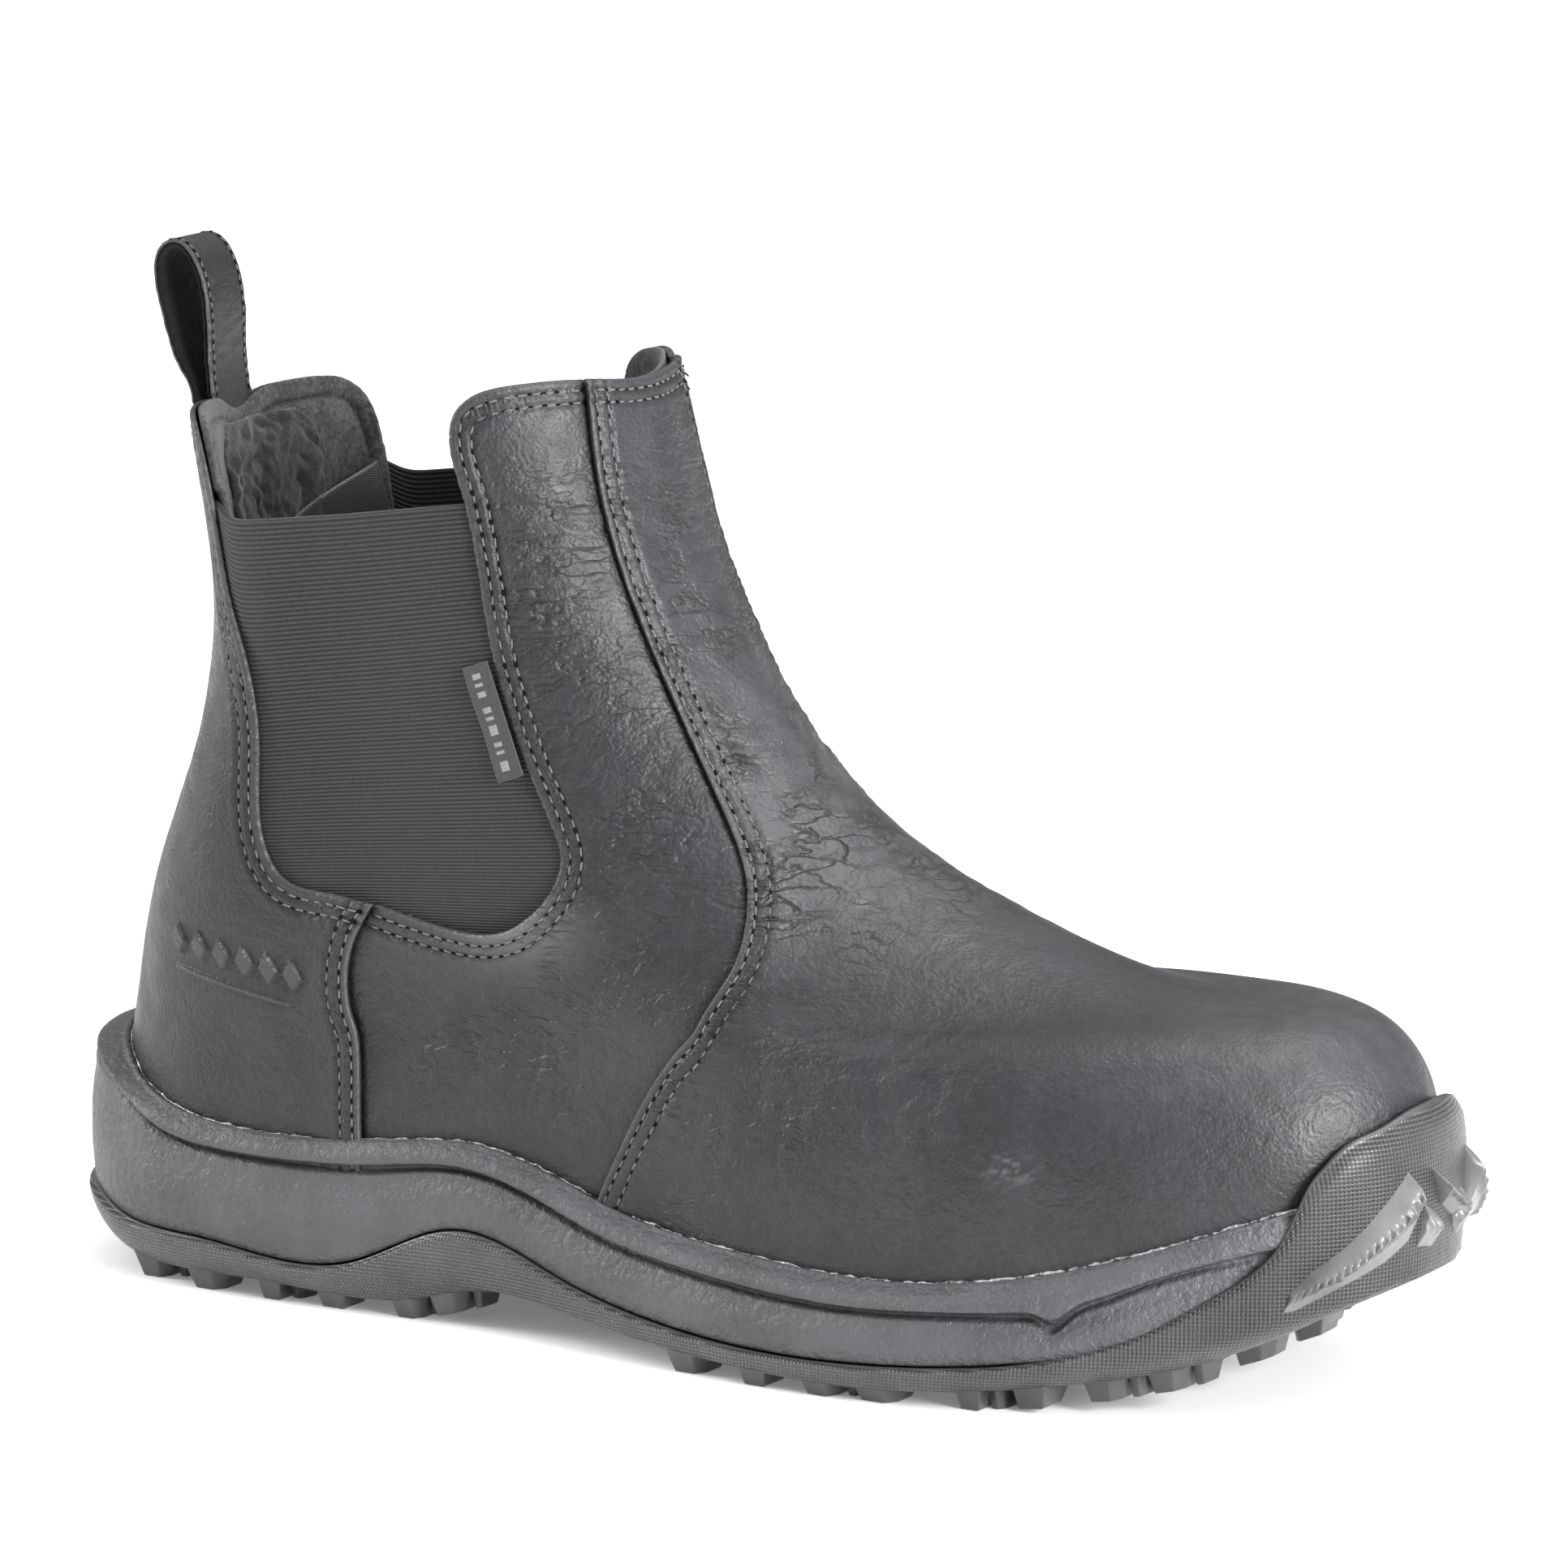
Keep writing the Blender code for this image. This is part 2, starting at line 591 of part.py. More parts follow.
def bumper_top(angle):
    """Height of the toe bumper's top edge: full over the toe, falling to the parting line at its ends."""
    plan_x = sole_outline(SOLE_PARTING, angle)[:, 0]
    low = line_height(plan_x, PARTING_LINE) + 2.0
    share = smooth_step(BUMPER_ANGLE - np.abs(angle - 180), 0, BUMPER_ANGLE * 0.6)
    return low + (BUMPER_TOP_Z - low) * share


def wall_plan(angle, share):
    """Plan of the toe wall from the parting line (0) over the belly to its leaning top (1)."""
    low = sole_outline(SOLE_PARTING, angle)
    middle = sole_outline(SOLE_BELLY, angle)
    high = sole_outline(SOLE_TIP, angle)
    bulge = np.clip(share * 3, 0, 1)
    lean = np.clip((share - 0.55) / 0.45, 0, 1) ** 2
    return low + (middle - low) * bulge + (high - middle) * lean


def bumper_blank():
    """A wall wrapped round the toe, rooted in the outsole."""
    angles = np.linspace(180 - BUMPER_ANGLE, 180 + BUMPER_ANGLE, BUMPER_COLUMNS)
    parting = line_height(sole_outline(SOLE_PARTING, angles)[:, 0], PARTING_LINE)
    top = bumper_top(angles)
    tangent = np.gradient(sole_outline(SOLE_BELLY, angles), axis=0)
    outward = np.stack([tangent[:, 1], -tangent[:, 0]], axis=-1)
    outward /= np.linalg.norm(outward, axis=1, keepdims=True)
    at_parting = np.zeros((BUMPER_COLUMNS, 1))
    shares = ((top - parting) / (BUMPER_TOP_Z - parting))[:, None]
    profile = []

    def add(offset, share, height):
        plan = wall_plan(angles, share) + outward * offset
        profile.append(np.column_stack([plan, height]))

    thick = BUMPER_THICKNESS
    add(-BUMPER_ROOT_INSET, at_parting, parting - BUMPER_ROOT_DEPTH)
    add(thick * 0.75, at_parting, parting - BUMPER_ROOT_DEPTH + 0.5)
    add(thick, at_parting, parting)
    for part in (0.4, 0.75, 1.0):
        add(thick * (1 - 0.3 * part), shares * part, between(parting, top, part))
    for part in (1.0, 0.75, 0.4, 0.0):
        height = np.maximum(between(parting, top, part), parting + GAP)
        add(GAP + 0.4, shares * part, height - (1 - part) * 0.4)
    add(-BUMPER_ROOT_INSET, at_parting, parting - BUMPER_ROOT_DEPTH + 1.6)
    rings = [np.array([ring[i] for ring in profile]) for i in range(BUMPER_COLUMNS)]
    count = len(profile)
    last = (BUMPER_COLUMNS - 1) * count
    faces = [tuple(range(count)), tuple(last + i for i in reversed(range(count)))]
    for i in range(BUMPER_COLUMNS - 1):
        a = i * count
        for k in range(count):
            j = (k + 1) % count
            faces.append((a + k, a + j, a + count + j, a + count + k))
    return add_object("toe_bumper_blank", np.concatenate(rings), faces, RUBBER_LOOK)


def lug_places():
    """Centre x, y, length, width and turn of every lug."""
    rows = []
    back, front = SOLE_BOTTOM[:2]
    for x in RIM_LUGS_X:
        turn = math.degrees(math.acos(1 - 2 * (x - back) / (front - back)))
        for angle in (turn, 360 - turn):
            plan = sole_outline(SOLE_BOTTOM, np.array([angle]), -RIM_LUG_INSET)[0]
            rows.append((plan[0], plan[1], 9.0, 13.0, 0))
    for x in (20, 37, 54, 71, 88):
        rows.append((x, -12 if x > 20 else 0, 10, 11, 30))
        if x > 20:
            rows.append((x, 11, 10, 11, -30))
    for x in (168, 184, 200, 216, 232, 248, 264):
        for y in (-24, -6, 12):
            rows.append((x, y * (1 if x < 250 else 0.62) - 1, 9.5, 11.5, 25 if y != -6 else 0))
    for x, y in ((283, -14), (287, 3), (281, 21), (120, -30), (150, -36)):
        rows.append((x, y, 8.5, 10, 0))
    return rows


def lug_blank():
    """All the lugs as tapered blocks that reach up into the outsole."""
    vertices = []
    faces = []
    for x, y, length, width, turn in lug_places():
        behind, base, ahead = line_height(np.array([x - 4.0, x, x + 4.0]), BOTTOM_LINE)
        foot = max(base - LUG_DEPTH, 0.0)
        slope = 0.0 if foot < 0.6 else (ahead - behind) / 8
        cosine, sine = math.cos(math.radians(turn)), math.sin(math.radians(turn))
        start = len(vertices)
        for height, taper in ((None, 0.80), (base + 2.2, 1.0)):
            for a, b in ((-1, -1), (1, -1), (1, 1), (-1, 1)):
                u = a * length / 2 * taper
                w = b * width / 2 * taper
                dx = u * cosine - w * sine
                z = (foot if height is None else height) + slope * dx
                vertices.append((x + dx, y + u * sine + w * cosine, z))
        faces.append(tuple(start + i for i in (0, 1, 2, 3)))
        faces.append(tuple(start + i for i in (7, 6, 5, 4)))
        faces += [(start + i, start + (i + 1) % 4, start + 4 + (i + 1) % 4, start + 4 + i) for i in range(4)]
    return add_object("lug_blanks", vertices, faces, RUBBER_LOOK, smooth=False)


def outsole():
    bottom = sole_ring(SOLE_BOTTOM, BOTTOM_LINE)
    side = sole_ring(SOLE_PARTING, PARTING_LINE)
    side[:, 2] = between(bottom[:, 2], side[:, 2], 0.45)
    parting = sole_ring(SOLE_PARTING, PARTING_LINE)
    inset = sole_ring(SOLE_PARTING, FLOOR_LINE, 0.0, -7)
    item = stack("outsole", [inset, parting, side, bottom], RUBBER_LOOK)
    boolean(item, lug_blank(), "UNION")
    boolean(item, bumper_blank(), "UNION")


def collar_back():
    """Middle of the collar's wall at the back, and the height of its top edge."""
    edge = last_point(0.0, COLLAR_BACK_RISE)
    inner = LEATHER + LAYER_GAP + LINING
    return edge[0] + inner / 2, edge[2]


def strip(name, path, thickness, width, values):
    """A strap of constant thickness along a path in the middle plane."""
    points = np.array(path, float)
    places = np.concatenate([[0], np.cumsum(np.linalg.norm(np.diff(points, axis=0), axis=1))])
    fine = spline(np.linspace(0, places[-1], 31), places, points)
    tangent = np.gradient(fine, axis=0)
    tangent /= np.linalg.norm(tangent, axis=1, keepdims=True)
    side = np.stack([-tangent[:, 1], tangent[:, 0]], axis=-1) * thickness / 2
    vertices = []
    for (x, z), (nx, nz) in zip(fine, side):
        for y, sign in ((-width / 2, 1), (width / 2, 1), (width / 2, -1), (-width / 2, -1)):
            vertices.append((x + sign * nx, y, z + sign * nz))
    last = 4 * (len(fine) - 1)
    faces = [(0, 1, 2, 3), (last + 3, last + 2, last + 1, last)]
    for i in range(len(fine) - 1):
        a = 4 * i
        faces += [(a + k, a + (k + 1) % 4, a + 4 + (k + 1) % 4, a + 4 + k) for k in range(4)]
    return add_object(name, vertices, faces, values)


def pull_tab():
    middle_x, top_z = collar_back()
    pivot_z = top_z + TAB_PIVOT_ABOVE_COLLAR
    leg = TAB_LEG_OFFSET
    path = (
        (-leg, 1.4), (-leg - 3.2, 5), (-leg - 8.2, 12.6), (-leg - 10.3, 20), (-leg - 11.1, 26.5),
        (-leg - 9.2, 30.4), (-leg - 6.2, 31.3), (-leg - 3.0, 29), (-leg - 0.2, 24), (-leg + 1.2, 18),
        (-leg + 2.2, 10), (-leg + 4.0, 1.4),
    )
    strip("pull_tab", [(middle_x + x, pivot_z + z) for x, z in path], TAB_THICKNESS, TAB_WIDTH, LEATHER_LOOK)


def sewn_patch(name, half_angle, low, high, outer, inner, values):
    outline = [(-half_angle, low), (half_angle, low), (half_angle, high), (-half_angle, high)]
    panel(name, outline, outer, inner, 6, values)


def back_trim():
    inside = LEATHER + LAYER_GAP + LINING + LAYER_GAP
    half = TAIL_HALF_ANGLE
    top = TAIL_TOP_RISE
    outside = -LAYER_GAP - TAB_THICKNESS
    sewn_patch("pull_tab_outer_tail", half, 80.5, top, outside, -LAYER_GAP, LEATHER_LOOK)
    sewn_patch("pull_tab_inner_tail", half, 82.5, top, inside, inside + TAB_THICKNESS, LEATHER_LOOK)
    sewn_patch("heel_grip_patch", 24, 60, 81.5, inside, inside + GRIP_THICKNESS, FLEECE_LOOK)


def label_frame():
    """Corner of the side label's hinge line, its direction, rearward direction and normal."""
    low = body_point(np.array(111.6), np.array(57.6), -0.5)
    high = body_point(np.array(112.0), np.array(68.2), -0.5)
    along = (high - low) / np.linalg.norm(high - low)
    normal = last_normal(np.array(109.5), np.array(62.9))
    normal = normal - along * float(normal @ along)
    normal /= np.linalg.norm(normal)
    rearward = np.cross(along, normal)
    rearward *= -math.copysign(1, rearward[0])
    return low, high, rearward, normal


def side_label():
    low, high, rearward, normal = label_frame()
    vertices = []
    for end in (low, high):
        for back, deep in ((0, 0), (LABEL_WIDTH, 0), (LABEL_WIDTH, LABEL_THICKNESS), (0, LABEL_THICKNESS)):
            vertices.append(end + rearward * back - normal * deep)
    faces = [(0, 1, 2, 3), (7, 6, 5, 4)]
    faces += [(k, (k + 1) % 4, 4 + (k + 1) % 4, 4 + k) for k in range(4)]
    add_object("side_label", vertices, faces, TAPE_LOOK, smooth=False)


def size_flap():
    """A soft flap sewn inside the rear of the collar on the inner side."""
    deep = LEATHER + LAYER_GAP + LINING + LAYER_GAP
    panel("size_flap", [(309, 74), (331, 72), (331, 82), (309, 84)], deep, deep + 0.7, 6, SATIN_LOOK)


def build():
    clear_scene()
    outsole()
    midsole()
    insole_and_footbed()
    heel_counter()
    toe_stiffeners()
    linings()
    leather_panels()
    elastic_gores()
    pull_tab()
    back_trim()
    side_label()
    size_flap()


build()
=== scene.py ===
"""Steel toe work boot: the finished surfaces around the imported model.

Boot coordinates are millimetres: +X from heel to toe, +Z up, the outer side
faces -Y. They go to the frame's metres when a mesh is made. The upper uses a
chart of two numbers: the angle in degrees goes from the back of the heel (0)
along the outer side to the toe (180) and back along the inner side (360), and
the rise in percent goes from the sole (0) to above the collar (100).
"""

import math

import bmesh
import bpy
import numpy as np
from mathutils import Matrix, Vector
from mathutils.geometry import delaunay_2d_cdt
from mathutils.kdtree import KDTree


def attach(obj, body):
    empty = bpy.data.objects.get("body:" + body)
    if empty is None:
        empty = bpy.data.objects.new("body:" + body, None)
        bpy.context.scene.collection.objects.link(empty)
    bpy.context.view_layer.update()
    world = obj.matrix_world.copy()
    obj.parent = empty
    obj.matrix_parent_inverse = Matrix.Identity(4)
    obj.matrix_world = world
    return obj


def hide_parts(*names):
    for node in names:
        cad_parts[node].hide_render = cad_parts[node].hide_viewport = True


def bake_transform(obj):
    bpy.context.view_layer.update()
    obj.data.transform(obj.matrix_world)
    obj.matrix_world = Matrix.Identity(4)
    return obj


MM = 0.001
CENTRE_X = 156.26
CENTRE_Y = -0.3

# Rings of the lasted upper, from sole to collar:
# (back x, back z), (front x, front z), (nose radius at back and front),
# and the half widths at 36, 72, 108 and 144 degrees, outer side then inner side
RINGS = (
    ((9, 20), (299, 27), (34, 40), (35, 38, 50, 37), (35, 33, 44, 43)),
    ((9.5, 34), (305.5, 46), (34, 42), (36, 39, 50, 38), (36, 35, 45, 43)),
    ((10, 43), (305, 62.5), (34, 36), (36, 39, 49, 36.5), (36, 36, 45, 41)),
    ((10.8, 51), (294, 75.5), (33, 27), (35.5, 38.5, 46, 31.5), (35.5, 36.5, 43.5, 36)),
    ((12.3, 59), (265, 77.5), (33, 18), (35, 38.5, 43, 26), (35, 37.5, 42, 28)),
    ((14, 69), (233, 83.5), (32, 16), (34.5, 38.5, 41, 25), (34.5, 38, 40, 26)),
    ((16.5, 80), (204, 95), (31, 17), (34, 38.5, 39.5, 24.5), (34, 38, 39, 25)),
    ((21.8, 96), (176, 112), (30, 19), (32.5, 38, 38, 24.5), (32.5, 38, 38, 25)),
    ((30, 118), (155.5, 135.5), (29, 22), (31, 38, 38, 25), (31, 38, 38, 25)),
    ((34.2, 145), (142.5, 160.5), (28, 25), (30, 38.5, 38.5, 26), (30, 38.5, 38.5, 26)),
    ((30.5, 175), (134.5, 185.5), (28, 28), (30, 41, 40, 27), (30, 41, 40, 27)),
    ((26, 212), (128, 213), (29, 30), (31, 43, 41.5, 28), (31, 43, 41.5, 28)),
)
STATIONS = np.radians([0, 36, 72, 108, 144, 180])
SAG_RING = 4

# Side lines of the sole, as (x, z)
BASE_LINE = ((0, 20), (60, 20), (110, 17.5), (160, 13.5), (200, 11.8), (240, 13.6), (275, 20), (299, 29))
RIM_LINE = (
    (0, 54), (11, 50.5), (28, 42), (47, 37.5), (89, 38), (112, 39.5), (147, 30.5),
    (180, 26), (216, 25), (249, 30), (272, 37), (293, 44), (310, 47),
)
GROOVE_LINE = (
    (0, 47), (12, 44), (23, 39.5), (31, 35), (47, 31.3), (67, 30.5), (87, 31.2), (108, 33.5),
    (124, 31), (144, 24.4), (162, 21), (178, 19.3), (207, 18.2), (232, 19.6), (245, 20.6),
    (256, 23.5), (268, 28.7), (284, 33.5), (310, 38),
)
NOTCH = (249.0, 3.2, 3.4)  # where the groove dips in front, how deep and how wide
PARTING_LINE = (
    (0, 18), (12, 16.5), (22, 14), (47, 12.3), (83, 11.6), (106, 21), (135, 15), (155, 10.4),
    (180, 8), (217, 8.6), (265, 15.8), (287, 22.5), (310, 29),
)
FLOOR_LINE = (
    (0, 15), (20, 13), (47, 12.5), (85, 12.2), (110, 12.2), (135, 11.2), (160, 9.5),
    (180, 8.5), (217, 9), (265, 12.5), (278, 15.6), (290, 19.8), (298, 23.8), (303, 26.5), (310, 29),
)
BOTTOM_LINE = (
    (0, 11), (15, 6.5), (28, 4.4), (60, 4.0), (95, 4.2), (112, 8.4), (135, 7.4),
    (160, 4.6), (180, 3.4), (225, 3.4), (250, 6.4), (272, 10.8), (284, 15.2), (291, 18.6),
    (298, 22.6), (305, 27),
)
BUMPER_LINE = (
    (126, 14.5), (136, 19.5), (143, 26), (149, 33), (152.5, 40), (155, 48), (157.5, 52.5),
    (161, 56.5), (166.5, 59), (173, 61.3), (180, 62),
)
BUMPER_CLIMB = 35.5
BUMPER_THICKNESS = 3.2
GRID_PITCH = 0.85  # of the small squares on the rubber

# Rings of the sole wall: back x, front x, nose radii, half widths outer side and inner side
SOLE_BOTTOM = (4, 304, (34, 34), (34.5, 39.5, 54, 34), (34.5, 34, 48, 41))
SOLE_PARTING = (1.2, 308.5, (38, 38), (38, 42.5, 56, 38.5), (38, 38, 50.5, 46))
SOLE_BELLY = (0.5, 309.2, (38, 40), (38.8, 43.5, 56.5, 39.5), (38.8, 39, 51, 47))
SOLE_GROOVE = (2.0, 308.2, (37, 40), (38, 42, 54.8, 38.8), (38, 38, 49.5, 46))
SOLE_BEAD = (3.2, 308.6, (37, 40), (38, 42, 54.6, 39.2), (38, 38, 49.3, 46))
SOLE_TIP = (3.2, 306.6, (37, 37), (38, 42, 54, 38), (38, 38, 49, 43.5))

# Outlines in the chart, as (angle, rise), outer side; the inner side is their mirror
HEEL_COLLAR = (
    (0, 88.9), (6, 89.2), (12, 89.9), (20, 90.2), (30, 90.2), (37, 89.6), (41.5, 88.0),
    (43.8, 85.2), (44.5, 82.2),
)
GORE_REAR = ((46, 76.5), (53, 70.5), (58.5, 63), (60.5, 52), (62.5, 47.8), (69.5, 45), (76.5, 43.5))
GORE_FRONT = (
    (89, 39.8), (98.5, 42), (107, 46.5), (112, 51), (113.8, 60), (114.5, 69), (117.5, 80), (117.6, 83),
)
FRONT_LOBE = ((117.2, 86), (119, 89.3), (123, 91), (130, 92), (142, 92.4), (154.5, 92.2))
VAMP_SEAM = (
    (154.5, 92.2), (151, 80), (150.3, 68), (148, 58), (142.5, 50.5), (130, 42), (119.5, 36), (108.5, 29.5),
    (97, 20.5), (88, 12.5), (84, 5), (82.5, 0),
)
HEEL_SEAM = ((76.5, 43.5), (71.5, 39), (66, 31), (62.5, 22), (60.3, 12), (60.5, 6), (60.5, 0))
VAMP_TOP = ((154.5, 92.2), (165, 91.7), (180, 91.5), (195, 91.7), (205.5, 92.2))

# Leather and seams
LEATHER = 1.5
LAP_LIFT = 1.45  # how far an overlapping piece stands up at its seam
LAP_FADE = (2.0, 14.0)
TUCK = 8.0  # how far a piece runs on beneath its neighbour
CUT_ROUND = 0.35
TURNED_ROUND = 0.9
LAP_ROWS = (1.7, 4.6)  # stitch rows, counted from the edge
TURNED_ROWS = (2.3, 4.8)
STITCH_PITCH = 3.0
THREAD = 0.48
STITCH_LEAN = 0.10

# Gores
GORE_TOP = 1.35  # depth of the gore's outer face
GORE_THICKNESS = 1.35
GORE_RISES = (39.9, 82.3)
GORE_TUCK = 7.0  # degrees that each side of the gore runs on under the leather
RIB_PITCH = 0.88
RIB_HEIGHT = 0.2

# Lining
LINING_DEPTH = 3.2
LINING = 1.7

# Pull tab: (x, z) of its loop from the pivot, and its stitched tail on the heel
TAB_PIVOT = (32.01, 185.29)
TAB_WIDTH = 15.5
TAB_ROW = 6.3
TAB_PATH = (
    (-4.7, -3.2), (-5.9, 0.4), (-8.6, 5.2), (-11.6, 12.6), (-13.7, 20), (-14.5, 26.3), (-13.0, 30.2),
    (-9.9, 31.4), (-6.5, 29.2), (-3.8, 24), (-2.6, 18), (-2.4, 10), (-1.9, 2.5), (-0.9, -3.5), (0.1, -10),
)
TAIL_ANGLE = 10.4
TAIL_RISES = (80.6, 82.6, 84.6, 86.4)
LABEL_WIDTH = 5.0
FLAP_CORNERS = ((-5, 79.2), (-39.5, 83.0), (-43.5, 77.5), (-9, 69))

# Light: the sky's strength overhead and at its edge, and lamps as (name, place, size, power)
SKY_TOP = 1.35
SKY_EDGE = 0.16
LAMPS = (
    ("toe", (1.7, -0.5, 0.62), (0.7, 0.7), 66),
    ("heel", (-1.6, -0.5, 0.80), (0.5, 0.8), 26),
    ("over", (0.45, 0.15, 1.6), (0.5, 0.4), 12),
)

# Camera: degrees from the outer side and above level, metres from its aim, and the aim's shift
CAMERA_TURN = 28.0
CAMERA_LIFT = 11.0
CAMERA_DISTANCE = 1.9
CAMERA_LENS = 211.9
CAMERA_SHIFT = (0.01103, 0.00167)

# Mesh sizes of the panels before they are halved once
HEEL_CELL = 1.5
QUARTER_CELL = 1.25
VAMP_CELL = 1.7
HEEL_LINING_CELL = 1.6
FRONT_LINING_CELL = 2.4
EDGE_ROWS = (0.18, 0.55, 1.15, 1.9)  # rows of points inside a free edge, for its rounding

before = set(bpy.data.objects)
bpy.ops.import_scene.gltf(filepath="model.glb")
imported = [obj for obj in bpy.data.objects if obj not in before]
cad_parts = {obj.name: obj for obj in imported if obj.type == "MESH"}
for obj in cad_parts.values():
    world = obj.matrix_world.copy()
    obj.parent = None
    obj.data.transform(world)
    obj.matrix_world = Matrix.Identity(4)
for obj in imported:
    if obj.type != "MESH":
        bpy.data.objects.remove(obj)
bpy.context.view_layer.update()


# ---------------------------------------------------------------- form of the upper


def spline(place, nodes, values):
    """Natural cubic spline through the values at the nodes, read at each place."""
    nodes = np.asarray(nodes, float)
    values = np.asarray(values, float)
    flat = values.reshape(len(nodes), -1)
    span = np.diff(nodes)
    system = np.eye(len(nodes))
    right = np.zeros_like(flat)
    for i in range(1, len(nodes) - 1):
        system[i, i - 1 : i + 2] = span[i - 1], 2 * (span[i - 1] + span[i]), span[i]
        right[i] = 6 * ((flat[i + 1] - flat[i]) / span[i] - (flat[i] - flat[i - 1]) / span[i - 1])
    bend = np.linalg.solve(system, right)
    place = np.asarray(place, float)
    k = np.clip(np.searchsorted(nodes, place, side="right") - 1, 0, len(nodes) - 2)
    before = (nodes[k + 1] - place)[..., None]
    after = (place - nodes[k])[..., None]
    width = span[k][..., None]
    result = (bend[k] * before**3 + bend[k + 1] * after**3) / (6 * width)
    result += (flat[k] / width - bend[k] * width / 6) * before
    result += (flat[k + 1] / width - bend[k + 1] * width / 6) * after
    return result.reshape(place.shape + values.shape[1:])


def line_height(x, line):
    """Height of a side line, given as (x, z) points, at each x."""
    points = np.array(line, float)
    return spline(np.clip(x, points[0, 0], points[-1, 0]), points[:, 0], points[:, 1])


def fullness(length, radii, widths):
    """Half widths divided by the sine of their stations, with the ends set by the nose radii."""
    ends = [math.sqrt(radius * length / 2) for radius in radii]
    middle = [width / math.sin(station) for width, station in zip(widths, STATIONS[1:5])]
    return [ends[0], *middle, ends[1]]


def half_width(turn, fullnesses):
    """Half width of a ring at each turn (0 to pi); fullnesses has one row for each turn."""
    nodes = np.concatenate([-STATIONS[3:0:-1], STATIONS, 2 * np.pi - STATIONS[-2:-5:-1]])
    rows = np.concatenate([fullnesses[:, 3:0:-1], fullnesses, fullnesses[:, -2:-5:-1]], axis=1)
    basis = spline(turn, nodes, np.eye(len(nodes)))
    return (basis * rows).sum(axis=1) * np.sin(turn)


def ring_table():
    rows = []
    for (back_x, back_z), (front_x, front_z), radii, outer, inner in RINGS:
        length = math.hypot(front_x - back_x, front_z - back_z)
        ends = [back_x, back_z, front_x, front_z]
        rows.append(ends + fullness(length, radii, outer) + fullness(length, radii, inner))
    table = np.array(rows)
    steps = np.diff(table, axis=0)
    travel = np.hypot(steps[:, 0], steps[:, 1]) + np.hypot(steps[:, 2], steps[:, 3])
    rises = np.concatenate([[0], np.cumsum(travel)])
    return table, 100 * rises / rises[-1]


RING_ROWS, RING_RISES = ring_table()


def last_point(angle, rise):
    """Point of the upper's outer surface at each chart place."""
    angle, rise = np.broadcast_arrays(np.asarray(angle, float), np.asarray(rise, float))
    shape = angle.shape
    turn = np.radians(angle.ravel() % 360)
    rise = rise.ravel()
    row = spline(rise, RING_RISES, RING_ROWS)
    outer_side = turn <= np.pi
    turn = np.where(outer_side, turn, 2 * np.pi - turn)
    across = half_width(turn, np.where(outer_side[:, None], row[:, 4:10], row[:, 10:16]))
    along = (1 - np.cos(turn)) / 2
    x = row[:, 0] + (row[:, 2] - row[:, 0]) * along
    z = row[:, 1] + (row[:, 3] - row[:, 1]) * along
    base = RING_ROWS[0]
    base_x = base[0] + (base[2] - base[0]) * along
    base_z = base[1] + (base[3] - base[1]) * along
    fade = np.clip(1 - rise / RING_RISES[SAG_RING], 0, 1) ** 2
    z = z + (line_height(base_x, BASE_LINE) - base_z) * fade
    y = np.where(outer_side, -across, across)
    return np.stack([x, y, z], axis=-1).reshape(shape + (3,))


def last_slopes(angle, rise):
    """How the surface point moves for one degree of angle and for one percent of rise."""
    small = 0.02
    angle = np.asarray(angle, float)
    rise = np.asarray(rise, float)
    around = (last_point(angle + small, rise) - last_point(angle - small, rise)) / (2 * small)
    up = (last_point(angle, rise + small) - last_point(angle, rise - small)) / (2 * small)
    return around, up


def unit(vectors):
    return vectors / np.maximum(np.linalg.norm(vectors, axis=-1, keepdims=True), 1e-12)


def travelled(points):
    """Distance along a line of points, from its first point."""
    return np.concatenate([[0], np.cumsum(np.linalg.norm(np.diff(points, axis=0), axis=1))])


def last_normal(angle, rise):
    around, up = last_slopes(angle, rise)
    return unit(np.cross(around, up))


def body_point(angle, rise, depth):
    """Point of the upper, this deep under its outer surface; a negative depth is outside it."""
    return last_point(angle, rise) - np.asarray(depth, float)[..., None] * last_normal(angle, rise)


def smooth_step(value, start, end):
    share = np.clip((np.asarray(value, float) - start) / (end - start), 0, 1)
    return share * share * (3 - 2 * share)


def between(low, high, share):
    return low + (high - low) * share


def bell(offset, width):
    """1 at an offset of 0, falling off to both sides."""
    return np.exp(-((offset / width) ** 2))


# ---------------------------------------------------------------- flat picture of the chart

CHART_ANGLES = np.arange(-120, 481, 2.0)
CHART_RISES = np.linspace(0, 100, 101)
MIDDLE_RISE = 25


def flat_tables():
    """Distances over the surface: round the boot at a middle rise, and up each angle."""
    points = last_point(CHART_ANGLES[:, None], CHART_RISES[None, :])
    steps = np.linalg.norm(np.diff(points, axis=1), axis=2)
    heights = np.concatenate([np.zeros((len(CHART_ANGLES), 1)), np.cumsum(steps, axis=1)], axis=1)
    ring = points[:, MIDDLE_RISE]
    spread = travelled(ring)
    return heights, spread


HEIGHTS, SPREAD = flat_tables()


def to_flat(angle, rise):
    """Chart places as points of a plane with nearly true lengths."""
    angle = np.asarray(angle, float)
    rise = np.asarray(rise, float)
    column = np.clip((angle - CHART_ANGLES[0]) / 2, 0, len(CHART_ANGLES) - 1.001)
    row = np.clip(rise, 0, 99.999)
    i = column.astype(int)
    j = row.astype(int)
    s = column - i
    t = row - j
    low = HEIGHTS[i, j] * (1 - s) + HEIGHTS[i + 1, j] * s
    high = HEIGHTS[i, j + 1] * (1 - s) + HEIGHTS[i + 1, j + 1] * s
    return np.stack([np.interp(angle, CHART_ANGLES, SPREAD), low + (high - low) * t + (rise - row)], axis=-1)


